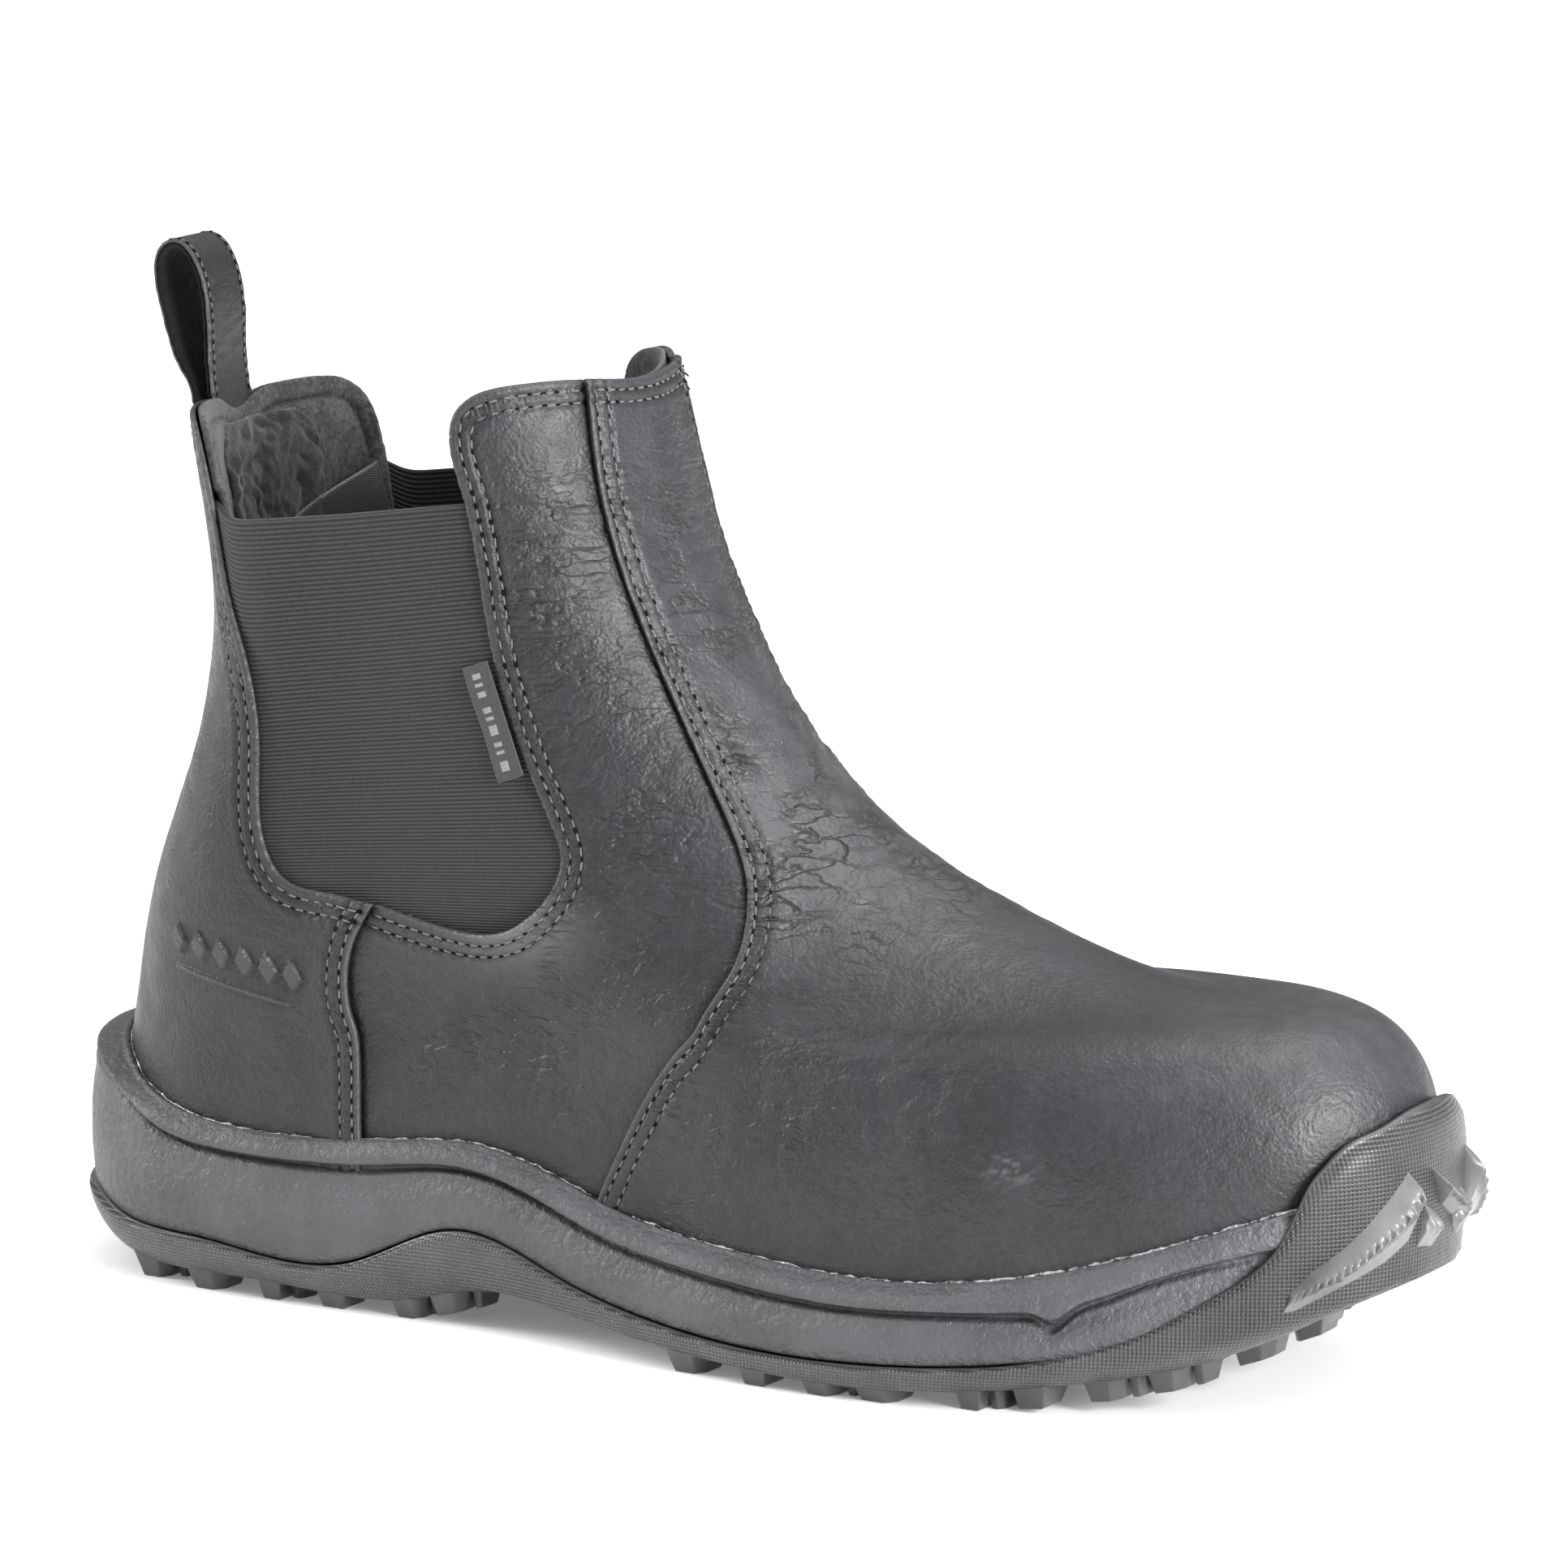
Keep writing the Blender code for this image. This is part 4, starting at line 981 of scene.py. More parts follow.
def satin_look():
    look = Look("black_satin", (0.016, 0.016, 0.018), 0.34, specular=0.55, sheen=0.2)
    weave = look.wave(900.0, 0.4, "Z")
    look.feed("Base Color", look.ramp(weave, (0.2, (0.010, 0.010, 0.011)), (0.8, (0.026, 0.026, 0.029))))
    look.feed("Normal", look.bump(weave, 0.00005))
    return look.material


def tape_look():
    look = Look("woven_tape", (0.045, 0.046, 0.05), 0.7, specular=0.35, sheen=0.25)
    body = look.ramp(look.attribute("stripe"), (0.35, (0.030, 0.031, 0.034)), (0.5, (0.20, 0.20, 0.21)))
    fibre = look.speckle(2600, 2)
    look.feed("Base Color", look.times(body, look.ramp(fibre, (0.3, 0.75), (0.7, 1.2))))
    look.feed("Normal", look.bump(fibre, 0.00012))
    return look.material


def steel_look(name, colour, roughness):
    look = Look(name, colour, roughness, metallic=1.0)
    brush = look.speckle(1500, 3, where=look.stretched((0.15, 1, 1)))
    look.feed("Roughness", look.ramp(brush, (0.2, roughness * 0.8), (0.8, roughness * 1.3)))
    look.feed("Normal", look.bump(brush, 0.00003))
    return look.material


def board_look(name, dark, light):
    look = Look(name, light, 0.85, specular=0.3)
    fibre = look.speckle(800, 5, 0.7)
    look.feed("Base Color", look.ramp(fibre, (0.3, dark), (0.7, light)))
    look.feed("Normal", look.bump(fibre, 0.0002))
    return look.material


LOOKS = {
    "leather": leather_look(),
    "thread": thread_look(),
    "hole_shade": hole_shade_look(),
    "elastic": elastic_look(),
    "fleece": fleece_look(),
    "suede": suede_look("split_suede", (0.010, 0.010, 0.011), (0.058, 0.057, 0.058), 0.25),
    "dark_suede": suede_look("dark_suede", (0.002, 0.002, 0.002), (0.013, 0.013, 0.013), 0.05),
    "foam": foam_look(),
    "rubber": rubber_look("carbon_rubber", (0.034, 0.0345, 0.037), (0.060, 0.061, 0.065)),
    # A lighter copy of the sole's rubber for the toe lugs: painted highlight.
    "highlit_toe_rubber": rubber_look("highlit_toe_rubber", (0.080, 0.080, 0.084), (0.155, 0.155, 0.160)),
    "glue": glue_look(),
    "satin": satin_look(),
    "tape": tape_look(),
    "steel": steel_look("coated_steel", (0.42, 0.43, 0.44), 0.42),
    "spring": steel_look("spring_steel", (0.5, 0.51, 0.53), 0.3),
    "board": board_look("fibre_board", (0.38, 0.33, 0.26), (0.58, 0.52, 0.43)),
    "counter": board_look("counter_board", (0.2, 0.2, 0.21), (0.32, 0.32, 0.33)),
}


# ---------------------------------------------------------------- relief of the leather


def vamp_relief(points):
    """Creases over the instep and the ball of the foot; the toe over the steel cap stays smooth."""
    instep = near(points, (168, -14, 122), (30, 60, 26))
    throat = near(points, (190, -10, 94), (30, 60, 16))
    shaft = near(points, (146, -10, 165), (26, 60, 36))
    ball = near(points, (205, -36, 62), (36, 45, 20))
    waist = near(points, (150, -44, 52), (34, 30, 26))
    outer = 0.25 * noise(points, 26, 2)
    broad = 0.7 * furrows(points, 36, (26, 4.6), 21, 2.4) + 0.6 * furrows(points, 8, (20, 4.2), 22, 2.4)
    outer -= (0.66 * instep + 0.42 * throat + 0.34 * shaft) * broad
    outer += 0.30 * (instep + 0.6 * throat + 0.5 * shaft) * noise(points, 6.5, 23)
    lines = 0.36 * ball * furrows(points, 80, (18, 6), 24)
    outer -= lines + 0.22 * ball * furrows(points, 8, (18, 4), 25, 3.2)
    lines = 0.36 * waist * furrows(points, 66, (20, 5), 26)
    outer -= lines + 0.26 * waist * furrows(points, 80, (16, 4), 29, 3)
    # Lighter over the instep, the throat, the toe and the shaft, with a flecked scuff low on the outer side.
    wear_and_highlight = 0.20 * instep * smooth_step(noise(points, 7, 27), -0.5, 0.6) + 0.20 * throat + 0.16 * instep
    toe = smooth_step(points[:, 0], 235, 290) * smooth_step(points[:, 2], 48, 74)
    wear_and_highlight = wear_and_highlight + 0.16 * toe * (1 + 0.6 * noise(points, 5, 28)) + 0.10 * shaft
    flecks = smooth_step(noise(points, (2.2, 2.2, 0.7), 63), 0.0, 0.5)
    scuff = near(points, (238, -44, 50), (5, 20, 3)) * flecks
    crease = 0.9 * instep + 0.7 * throat + 0.7 * shaft + 0.25 * ball + 0.35 * waist
    return outer, np.clip(wear_and_highlight + 0.7 * scuff, 0, 1), crease


def quarter_relief(points):
    """Sparse long creases, and the swelling under the gore's front corner."""
    outer = 0.25 * noise(points, 24, 3)
    fan = near(points, (126, -40, 150), (26, 80, 32))
    low = near(points, (146, -38, 98), (30, 80, 22))
    waist = near(points, (116, -44, 60), (32, 80, 20))
    outer -= 0.34 * fan * furrows(points, -8, (26, 5), 31, 3.0)
    outer -= 0.16 * fan * furrows(points, 40, (16, 4), 64, 3.0)
    lines = 0.50 * low * furrows(points, 36, (22, 4.8), 32, 2.6)
    outer -= lines + 0.3 * low * furrows(points, 12, (16, 4), 65, 3.0)
    lines = 0.36 * waist * furrows(points, 72, (22, 6.5), 66, 2.4)
    outer -= lines + 0.1 * waist * furrows(points, 50, (12, 4), 67, 3)
    for height, slope, seed in ((172, 0.12, 68), (166, -0.05, 69)):
        bend = points[:, 2] - height + slope * (points[:, 0] - 120) + 1.4 * noise(points, 7, seed)
        outer -= 0.6 * bell(bend, 1.0) * near(points, (120, -40, height), (15, 80, 12))
    corner = near(points, (121, -42, 87), (14, 80, 7.5))
    ankle = near(points, (104, -42, 80), (22, 80, 8))
    outer += 2.5 * corner + 0.9 * ankle
    ripple = near(points, (135, -42, 92), (16, 80, 10))
    outer -= 0.6 * ripple * furrows(points, 30, (16, 3.6), 70, 2.4)
    # The swelling under the gore's front corner is painted lighter: a painted highlight.
    wear_and_highlight = 0.80 * corner
    return outer, np.clip(wear_and_highlight, 0, 1), 0.6 * fan + 0.8 * low + 0.35 * waist


EMBLEM = dict(first=(40.5, 37.4), last=(59.0, 32.0), count=6, half_height=3.5, half_width=2.4)


def emblem_height(points):
    """A row of plain pressed diamonds over a thin bar, on the outer side of the heel."""
    first = last_point(*EMBLEM["first"])
    last = last_point(*EMBLEM["last"])
    along = unit(last - first)
    normal = last_normal(49.0, 35.0)
    up = unit(np.cross(along, normal))
    up = up * np.sign(up[2])
    raised = np.zeros(len(points))
    close = points[:, 1] < 0
    for k in range(EMBLEM["count"]):
        offset = points - between(first, last, k / (EMBLEM["count"] - 1))
        u = (offset @ along) + 0.28 * (offset @ up)
        v = offset @ up
        reach = np.abs(u) / EMBLEM["half_width"] + np.abs(v) / EMBLEM["half_height"]
        raised = np.maximum(raised, 1 - smooth_step(reach, 0.72, 1.08))
    middle = points - (first + last) / 2
    bar = 1 - smooth_step(np.abs(middle @ up + 6.2), 0.25, 0.75)
    bar *= 1 - smooth_step(np.abs(middle @ along), 14.5, 15.5)
    return np.where(close, np.maximum(raised, 0.7 * bar), 0)


class EmblemField:
    """Denser mesh under the emblem."""

    def covers(self, angle, rise):
        return (angle > 33.5) & (angle < 62) & (rise > 26) & (rise < 43)

    def places(self):
        angle, rise = np.meshgrid(np.arange(33.8, 61.8, 0.36), np.arange(26.3, 42.8, 0.42), indexing="ij")
        return np.stack([angle.ravel(), rise.ravel()], axis=-1)


def heel_relief(points):
    """Nearly smooth leather with the emblem pressed into its outer side."""
    outer = 0.22 * noise(points, 24, 5)
    outer -= 0.16 * near(points, (30, -35, 110), (24, 60, 20)) * furrows(points, 15, (18, 5), 41)
    mark = emblem_height(points)
    outer += 1.0 * mark - 0.3 * near(points, (56, -41, 72), (16, 20, 6))
    # Lighter on the emblem, and a painted highlight that grows up the heel towards the collar.
    wear_and_highlight = 0.22 * mark + 0.5 * smooth_step(points[:, 2], 110, 170) * (0.7 + 0.5 * noise(points, 7, 43))
    crease = near(points, (26, -35, 140), (26, 60, 30))
    return outer, np.clip(wear_and_highlight, 0, 1), 0.6 * crease


HEEL_SIDE = [*HEEL_COLLAR, *GORE_REAR]
HEEL_TURNED = mirrored(HEEL_SIDE, 0)[:-1] + HEEL_SIDE
QUARTER_TURNED = [(76.5, 43.5), *GORE_FRONT, *FRONT_LOBE]


def leather_panels():
    heel = Panel(
        [
            Side("turned", HEEL_TURNED),
            Side("over", HEEL_SEAM),
            Side("hidden", [(60.5, 0), (30, 0), (0, 0), (-30, 0), (-60.5, 0)]),
            Side("over", mirrored(HEEL_SEAM, 0)),
        ],
        heel_relief,
        HEEL_CELL,
        EmblemField(),
    )
    quarter = Panel(
        [
            Side("turned", QUARTER_TURNED),
            Side("under", VAMP_SEAM, fade_start=9),
            Side("hidden", [(82.5, 0), (70, 0), (60.5, 0)]),
            Side("under", HEEL_SEAM[::-1], fade_end=12),
        ],
        quarter_relief,
        QUARTER_CELL,
    )
    inner_quarter = Panel(
        [
            Side("turned", mirrored(QUARTER_TURNED)),
            Side("under", mirrored(HEEL_SEAM[::-1]), fade_start=12),
            Side("hidden", [(299.5, 0), (290, 0), (277.5, 0)]),
            Side("under", mirrored(VAMP_SEAM), fade_end=9),
        ],
        quarter_relief,
        QUARTER_CELL,
    )
    vamp = Panel(
        [
            Side("turned", VAMP_TOP),
            Side("over", mirrored(VAMP_SEAM)[::-1]),
            Side("hidden", [(277.5, 0), (230, 0), (180, 0), (130, 0), (82.5, 0)]),
            Side("over", VAMP_SEAM[::-1]),
        ],
        vamp_relief,
        VAMP_CELL,
    )
    panels = {
        "heel_quarter": heel, "lateral_quarter": quarter, "medial_quarter": inner_quarter, "vamp": vamp,
    }
    for name, panel in panels.items():
        panel.mesh(name + "_leather", LOOKS["leather"], "leather", name)
    return panels


# ---------------------------------------------------------------- stitches


def capsule():
    """A stitch of unit length along X with unit thickness, as points and quads."""
    sides, rings = 6, 7
    points = []
    for ring in range(rings):
        share = ring / (rings - 1)
        radius = 0.5 * math.sin(math.pi * between(0.08, 0.92, share)) ** 0.45
        for side in range(sides):
            turn = 2 * math.pi * side / sides
            points.append((share - 0.5, radius * math.cos(turn), radius * math.sin(turn)))
    points += [(-0.53, 0, 0), (0.53, 0, 0)]
    quads = grid_faces(rings, sides, closed=True)
    first, last = len(points) - 2, len(points) - 1
    tips = [(first, (k + 1) % sides, k) for k in range(sides)]
    tips += [(last, (rings - 1) * sides + k, (rings - 1) * sides + (k + 1) % sides) for k in range(sides)]
    return np.array(points), quads, np.array(tips)


CAPSULE = capsule()


def thread_row(surface, line, pitch=STITCH_PITCH):
    """Stitches, and near-black blobs of painted shade where the needle went through, along a line of chart
    places, on a surface of chart places.
    """
    return stitches_along(surface(line[:, 0], line[:, 1]), last_normal(line[:, 0], line[:, 1]), pitch)


def stitches_along(points, normals, pitch=STITCH_PITCH, thick=THREAD):
    """Stitches, and near-black blobs of painted shade where the needle went through, along a line of points,
    each with its normal.
    """
    travel = travelled(points)
    count = int(travel[-1] / pitch)
    if count < 1:
        return [], []

    def read(table, places):
        return np.stack([np.interp(places, travel, table[:, k]) for k in range(3)], axis=-1)

    starts = (np.arange(count) + 0.5) * travel[-1] / count
    centre = read(points, starts)
    along = unit(read(points, starts + 0.4) - read(points, starts - 0.4))
    normal = read(normals, starts)
    normal = unit(normal - along * (normal * along).sum(axis=1, keepdims=True))
    across = np.cross(normal, along)
    length = travel[-1] / count
    shape = CAPSULE[0]
    stitches = []
    hole_shades = []
    for i in range(count):
        direction = unit(along[i] + across[i] * STITCH_LEAN * math.sin(7.1 * i))
        side = np.cross(normal[i], direction)
        dip = -0.45 * (2 * shape[:, :1]) ** 4
        body = centre[i] + shape[:, :1] * direction * length * 0.78 + shape[:, 1:2] * side * thick
        stitches.append(body + (shape[:, 2:3] * thick * 0.8 + 0.14 + dip) * normal[i])
        hole_shade = centre[i] + along[i] * length / 2 + shape[:, :1] * direction * 1.15
        hole_shades.append(hole_shade + shape[:, 1:2] * side * 0.74 + shape[:, 2:3] * 0.40 * normal[i])
    return stitches, hole_shades


def stitch_object(name, rows, slot="leather", place=place_piece):
    """One object of every stitch in the rows, and one of the near-black blobs of painted shade between them,
    where the needle went through.
    """
    stitches = [stitch for row in rows for stitch in row[0]]
    hole_shades = [hole_shade for row in rows for hole_shade in row[1]]
    for label, shapes, look in ((name, stitches, "thread"), (name + "_hole_shades", hole_shades, "hole_shade")):
        size = len(CAPSULE[0])
        offsets = (np.arange(len(shapes)) * size)[:, None, None]
        quads = (CAPSULE[1][None] + offsets).reshape(-1, 4)
        tips = (CAPSULE[2][None] + offsets).reshape(-1, 3)
        place(add_mesh(label, np.concatenate(shapes), [quads, tips], LOOKS[look]), slot)


def row_beside(panel, side, offset):
    """Chart places at an offset inside a side, dropped where they come too near the edge."""
    line = smooth_line(side.line, 0.6)
    inward = panel.sign * sideways(line)
    row = shifted(line, inward * offset)
    points = last_point(*row.T)
    clear = distances(side.tree, points) > 0.93 * offset
    clear &= (row[:, 1] > 3.5) & (row[:, 1] < 99) & inside(to_flat(*row.T), panel.visible)
    for other in panel.sides:
        if other is not side and other.kind in ("over", "turned"):
            clear &= distances(other.tree, points) > 1.5
    kept = row[clear]
    steps = np.linalg.norm(np.diff(last_point(*kept.T), axis=0), axis=1)
    breaks = np.nonzero(steps > 8)[0] + 1
    return [part for part in np.split(kept, breaks) if len(part) > 4]


def seam_threads(panels):
    groups = {"gore_and_collar_thread": ("turned", TURNED_ROWS), "seam_thread": ("over", LAP_ROWS)}
    for name, (kind, offsets) in groups.items():
        rows = []
        for panel in panels.values():
            for side in panel.sides:
                if side.kind != kind:
                    continue
                for offset in offsets:
                    rows += [thread_row(panel.surface, part) for part in row_beside(panel, side, offset)]
        stitch_object(name, rows)


# ---------------------------------------------------------------- gores


def gore(name, node_name, inner_side):
    """Elastic webbing with a real rib for every cord, its sides tucked under the leather."""
    rear = smooth_line([(44.5, 82.2), *GORE_REAR, (83, 41.2), (89, 39.8)], 0.8)
    front = smooth_line(GORE_FRONT, 0.8)
    low, high = GORE_RISES
    middle = last_point(80.0, np.linspace(low, high, 60))
    count = int(np.linalg.norm(np.diff(middle, axis=0), axis=1).sum() / RIB_PITCH)
    rows = count * 4 + 1
    columns = 60
    share_up = np.linspace(0, 1, rows)
    level = between(low, high, share_up)
    left = np.interp(level, rear[::-1, 1], rear[::-1, 0])
    right = np.interp(level, front[:, 1], front[:, 0])
    left = left - GORE_TUCK
    right = right + GORE_TUCK
    across = np.linspace(0, 1, columns)
    angle = between(left[:, None], right[:, None], across[None, :])
    bend = 1.5 * bell(angle - 41, 7.0) + 0.35 * smooth_step(angle, 78, 118)
    rise = level[:, None] + (bend - 0.7) * (0.25 + 0.75 * share_up[:, None])
    rise = np.minimum(rise, 99)
    phase = share_up[:, None] * count * 2 * math.pi + 0 * angle
    wave = 0.5 - 0.5 * np.cos(phase)
    if inner_side:
        angle = 360 - angle
    flat_angle, flat_rise = angle.ravel(), rise.ravel()
    points = last_point(flat_angle, flat_rise)
    sag = 0.7 * near(points, (78, 0, 120), (26, 200, 34)) + 0.25 * noise(points, 18, 6)
    ripple = RIB_HEIGHT * wave.ravel() ** 0.8
    top = body_point(flat_angle, flat_rise, GORE_TOP + 0.15 + sag * 0.6 - ripple)
    bottom = body_point(flat_angle, flat_rise, GORE_TOP + GORE_THICKNESS + sag * 0.6 + ripple)
    item = closed_sheet(name, top, bottom, (rows, columns), LOOKS["elastic"], {"rib": wave})
    place_piece(item, "elastic", [node_name])


# ---------------------------------------------------------------- sole


def sole_outline(ring, angle, grow=0.0):
    """Plan of a ring of the sole wall, grown outwards by a margin."""
    back, front, radii, outer, inner = ring
    length = front - back
    sides = np.array([fullness(length, radii, outer), fullness(length, radii, inner)])

    def plan(turn_angle):
        turn = np.radians(np.asarray(turn_angle, float) % 360)
        outer_side = turn <= np.pi
        turn = np.where(outer_side, turn, 2 * np.pi - turn)
        across = half_width(turn, sides[np.where(outer_side, 0, 1)])
        x = back + length * (1 - np.cos(turn)) / 2
        return np.stack([x, np.where(outer_side, -across, across)], axis=-1)

    tangent = plan(np.asarray(angle) + 0.05) - plan(np.asarray(angle) - 0.05)
    outward = np.stack([tangent[:, 1], -tangent[:, 0]], axis=-1)
    outward /= np.linalg.norm(outward, axis=1, keepdims=True)
    return plan(angle) + outward * np.reshape(grow, (-1, 1))


def outward_of(angle):
    return sole_outline(SOLE_BELLY, angle, 1.0) - sole_outline(SOLE_BELLY, angle)


def even_angles(count):
    """Angles that divide the sole's outline into equal steps."""
    angle = np.linspace(0, 360, 1441)
    plan = sole_outline(SOLE_BELLY, angle)
    travel = travelled(plan)
    places = np.arange(count) * travel[-1] / count
    return np.interp(places, travel, angle), travel[-1]


def rim_rises(angles, drop):
    """Rise at which the upper meets the height of the midsole's rim, less a drop."""
    samples = np.linspace(0, 30, 121)
    grid = last_point(angles[:, None], samples[None, :])
    above = grid[..., 2] - line_height(grid[..., 0].ravel(), RIM_LINE).reshape(grid.shape[:2]) + drop
    return np.array([np.interp(0, row, samples) for row in above])


def groove_height(x):
    centre, depth, width = NOTCH
    return line_height(x, GROOVE_LINE) - depth * bell(x - centre, width)


def cross_faces(base, count):
    """Strips across the boot that close a ring of points."""
    half = count // 2
    i = np.arange(1, half - 1)
    quads = np.stack([base + i, base + i + 1, base + count - i - 1, base + count - i], axis=-1)
    tips = np.array([(base, base + 1, base + count - 1), (base + half, base + half + 1, base + half - 1)])
    return quads, tips


def ring_body(name, rings, material, values=None):
    """Closed body from rings of equal counts, its first and last closed across the boot."""
    count = len(rings[0])
    quads = [grid_faces(len(rings), count, closed=True)]
    for base in (0, (len(rings) - 1) * count):
        strip, tips = cross_faces(base, count)
        quads += [strip, tips]
    return add_mesh(name, np.concatenate(rings), quads, material, values=values)


def midsole():
    """Foam tray with a bead along its rim and a groove below it, as rings from the floor up."""
    count = 960
    angles, _ = even_angles(count)
    parting = sole_outline(SOLE_PARTING, angles)
    parting_z = line_height(parting[:, 0], PARTING_LINE)
    groove = sole_outline(SOLE_GROOVE, angles)
    belly = sole_outline(SOLE_BELLY, angles)
    bead = sole_outline(SOLE_BEAD, angles)
    rises = rim_rises(angles, 0.0)
    rim = body_point(angles, rises, -0.5)
    outward = outward_of(angles)
    groove_z = groove_height(groove[:, 0])
    behind_toe = smooth_step(np.abs(angles - 180), 25, 45)
    depth = 2.0 * behind_toe
    rings = []

    def add(plan, height):
        rings.append(np.column_stack([plan, height]))

    add(sole_outline(SOLE_PARTING, angles, -7.0), line_height(parting[:, 0], FLOOR_LINE) + 0.4)
    add(parting - outward * 1.6, parting_z + 0.5)
    for share in (0.0, 0.06, 0.14, 0.24, 0.36, 0.48, 0.60, 0.70, 0.78, 0.85, 0.91, 0.96):
        bulge = math.sin(math.pi * between(0.12, 0.98, share)) ** 0.7
        plan = between(parting, belly, bulge) - outward * (0.7 * (1 - bulge) + 0.3)
        add(between(plan, groove, smooth_step(share, 0.6, 1.0)), between(parting_z + 0.6, groove_z, share))
    for share, sink in ((0.0, 0.50), (0.04, 0.85), (0.08, 1.0), (0.13, 0.92), (0.18, 0.66), (0.23, 0.34)):
        height = between(groove_z, rim[:, 2], share)
        add(groove - outward * (depth * sink)[:, None], height)
    for share in (0.28, 0.34, 0.41, 0.48, 0.55, 0.63, 0.71, 0.79, 0.86, 0.92, 0.97):
        height = between(groove_z, rim[:, 2], share)
        swell = math.sin(math.pi * min(share * 1.02, 1)) ** 0.75
        inner_plan = between(groove - outward * 0.8, rim[:, :2] + outward * 0.8, share**2.4)
        outer_plan = between(bead + outward * 1.3, rim[:, :2] + outward * 2.2, share**2.6)
        add(between(inner_plan, outer_plan, swell), height)
    for out, lift in ((1.7, 0.10), (1.2, 0.22), (0.7, 0.15), (0.35, -0.15)):
        rings.append(body_point(angles, rises, -out) + np.array([0, 0, lift]))
    for drop in (1.0, 3.5):
        rings.append(body_point(angles, rim_rises(angles, drop), -0.2))
    rings.append(body_point(angles, np.minimum(rim_rises(angles, 3.5), 2.5), -0.2))
    floor = body_point(angles, 0.0, -0.2)
    floor[:, 2] -= 0.3
    rings.append(floor)
    points = np.concatenate(rings)
    wall = slice(2 * count, (len(rings) - 4) * count)
    grain = 0.07 * noise(points, 1.1, 51) + 0.10 * noise(points, 2.6, 52) + 0.25 * noise(points, 30, 53)
    nick = near(points, (70, -43, 36.5), (13, 8, 2.2)) + near(points, (24, -33, 45), (9, 12, 4))
    grain -= 0.55 * nick * smooth_step(noise(points, (1.3, 3, 3), 54), 0.15, 0.5)
    push = np.tile(np.column_stack([outward, np.zeros(count)]), (len(rings), 1))
    points[wall] += (push * grain[:, None])[wall]
    item = ring_body("midsole_foam", points.reshape(len(rings), count, 3), LOOKS["foam"])
    place_piece(item, "midsole_foam", ["midsole"])
    return angles, rises


def cement_line(angles, rises):
    """An irregular squeeze of cement where the upper meets the midsole."""
    count = 1500
    fine = np.linspace(0, 360, count, endpoint=False)
    rise = np.interp(fine, np.append(angles, 360), np.append(rises, rises[0]))
    centre = body_point(fine, rise, -0.15)
    amount = 0.26 + 0.24 * noise(centre, 3.0, 61) + 0.16 * noise(centre, 1.1, 62)
    amount = np.clip(amount + 0.25 * smooth_step(centre[:, 0], 200, 290), 0.06, 0.8)
    normal = last_normal(fine, rise)
    along = unit(np.gradient(centre, axis=0))
    up = unit(np.cross(normal, along))
    up *= np.sign(up[:, 2:3])
    lift = 0.35 * noise(centre, 2.2, 63)
    rings = []
    for side in range(7):
        turn = 2 * math.pi * side / 7
        offset = normal * math.cos(turn) * 0.7 + up * (math.sin(turn) * 1.1)
        rings.append(centre + offset * amount[:, None] + up * lift[:, None])
    faces = grid_faces(7, count, closed=True)
    last = np.arange(count)
    following = (last + 1) % count
    seam = np.stack([6 * count + last, 6 * count + following, following, last], axis=-1)
    item = add_mesh("cement_line", np.concatenate(rings), [faces, seam], LOOKS["glue"])
    place_piece(item, "midsole_foam")


def bumper_top(angle):
    """Height of the outsole's top edge: the parting line, rising to the full bumper over the toe."""
    plan_x = sole_outline(SOLE_PARTING, angle)[:, 0]
    low = line_height(plan_x, PARTING_LINE)
    line = np.array(BUMPER_LINE)
    around = 180 - np.abs(angle - 180)
    high = spline(np.clip(around, line[0, 0], 180), line[:, 0], line[:, 1])
    return between(low, np.maximum(low, high), smooth_step(around, 122, 142)), low


def wall_plan(angle, share):
    """Plan of the toe wall from the parting line (0) over the belly to its leaning top (1)."""
    low = sole_outline(SOLE_PARTING, angle)
    middle = sole_outline(SOLE_BELLY, angle)
    high = sole_outline(SOLE_TIP, angle)
    bulge = np.clip(share * 3, 0, 1)
    lean = np.clip((share - 0.55) / 0.45, 0, 1) ** 2
    return low + (middle - low) * bulge + (high - middle) * lean


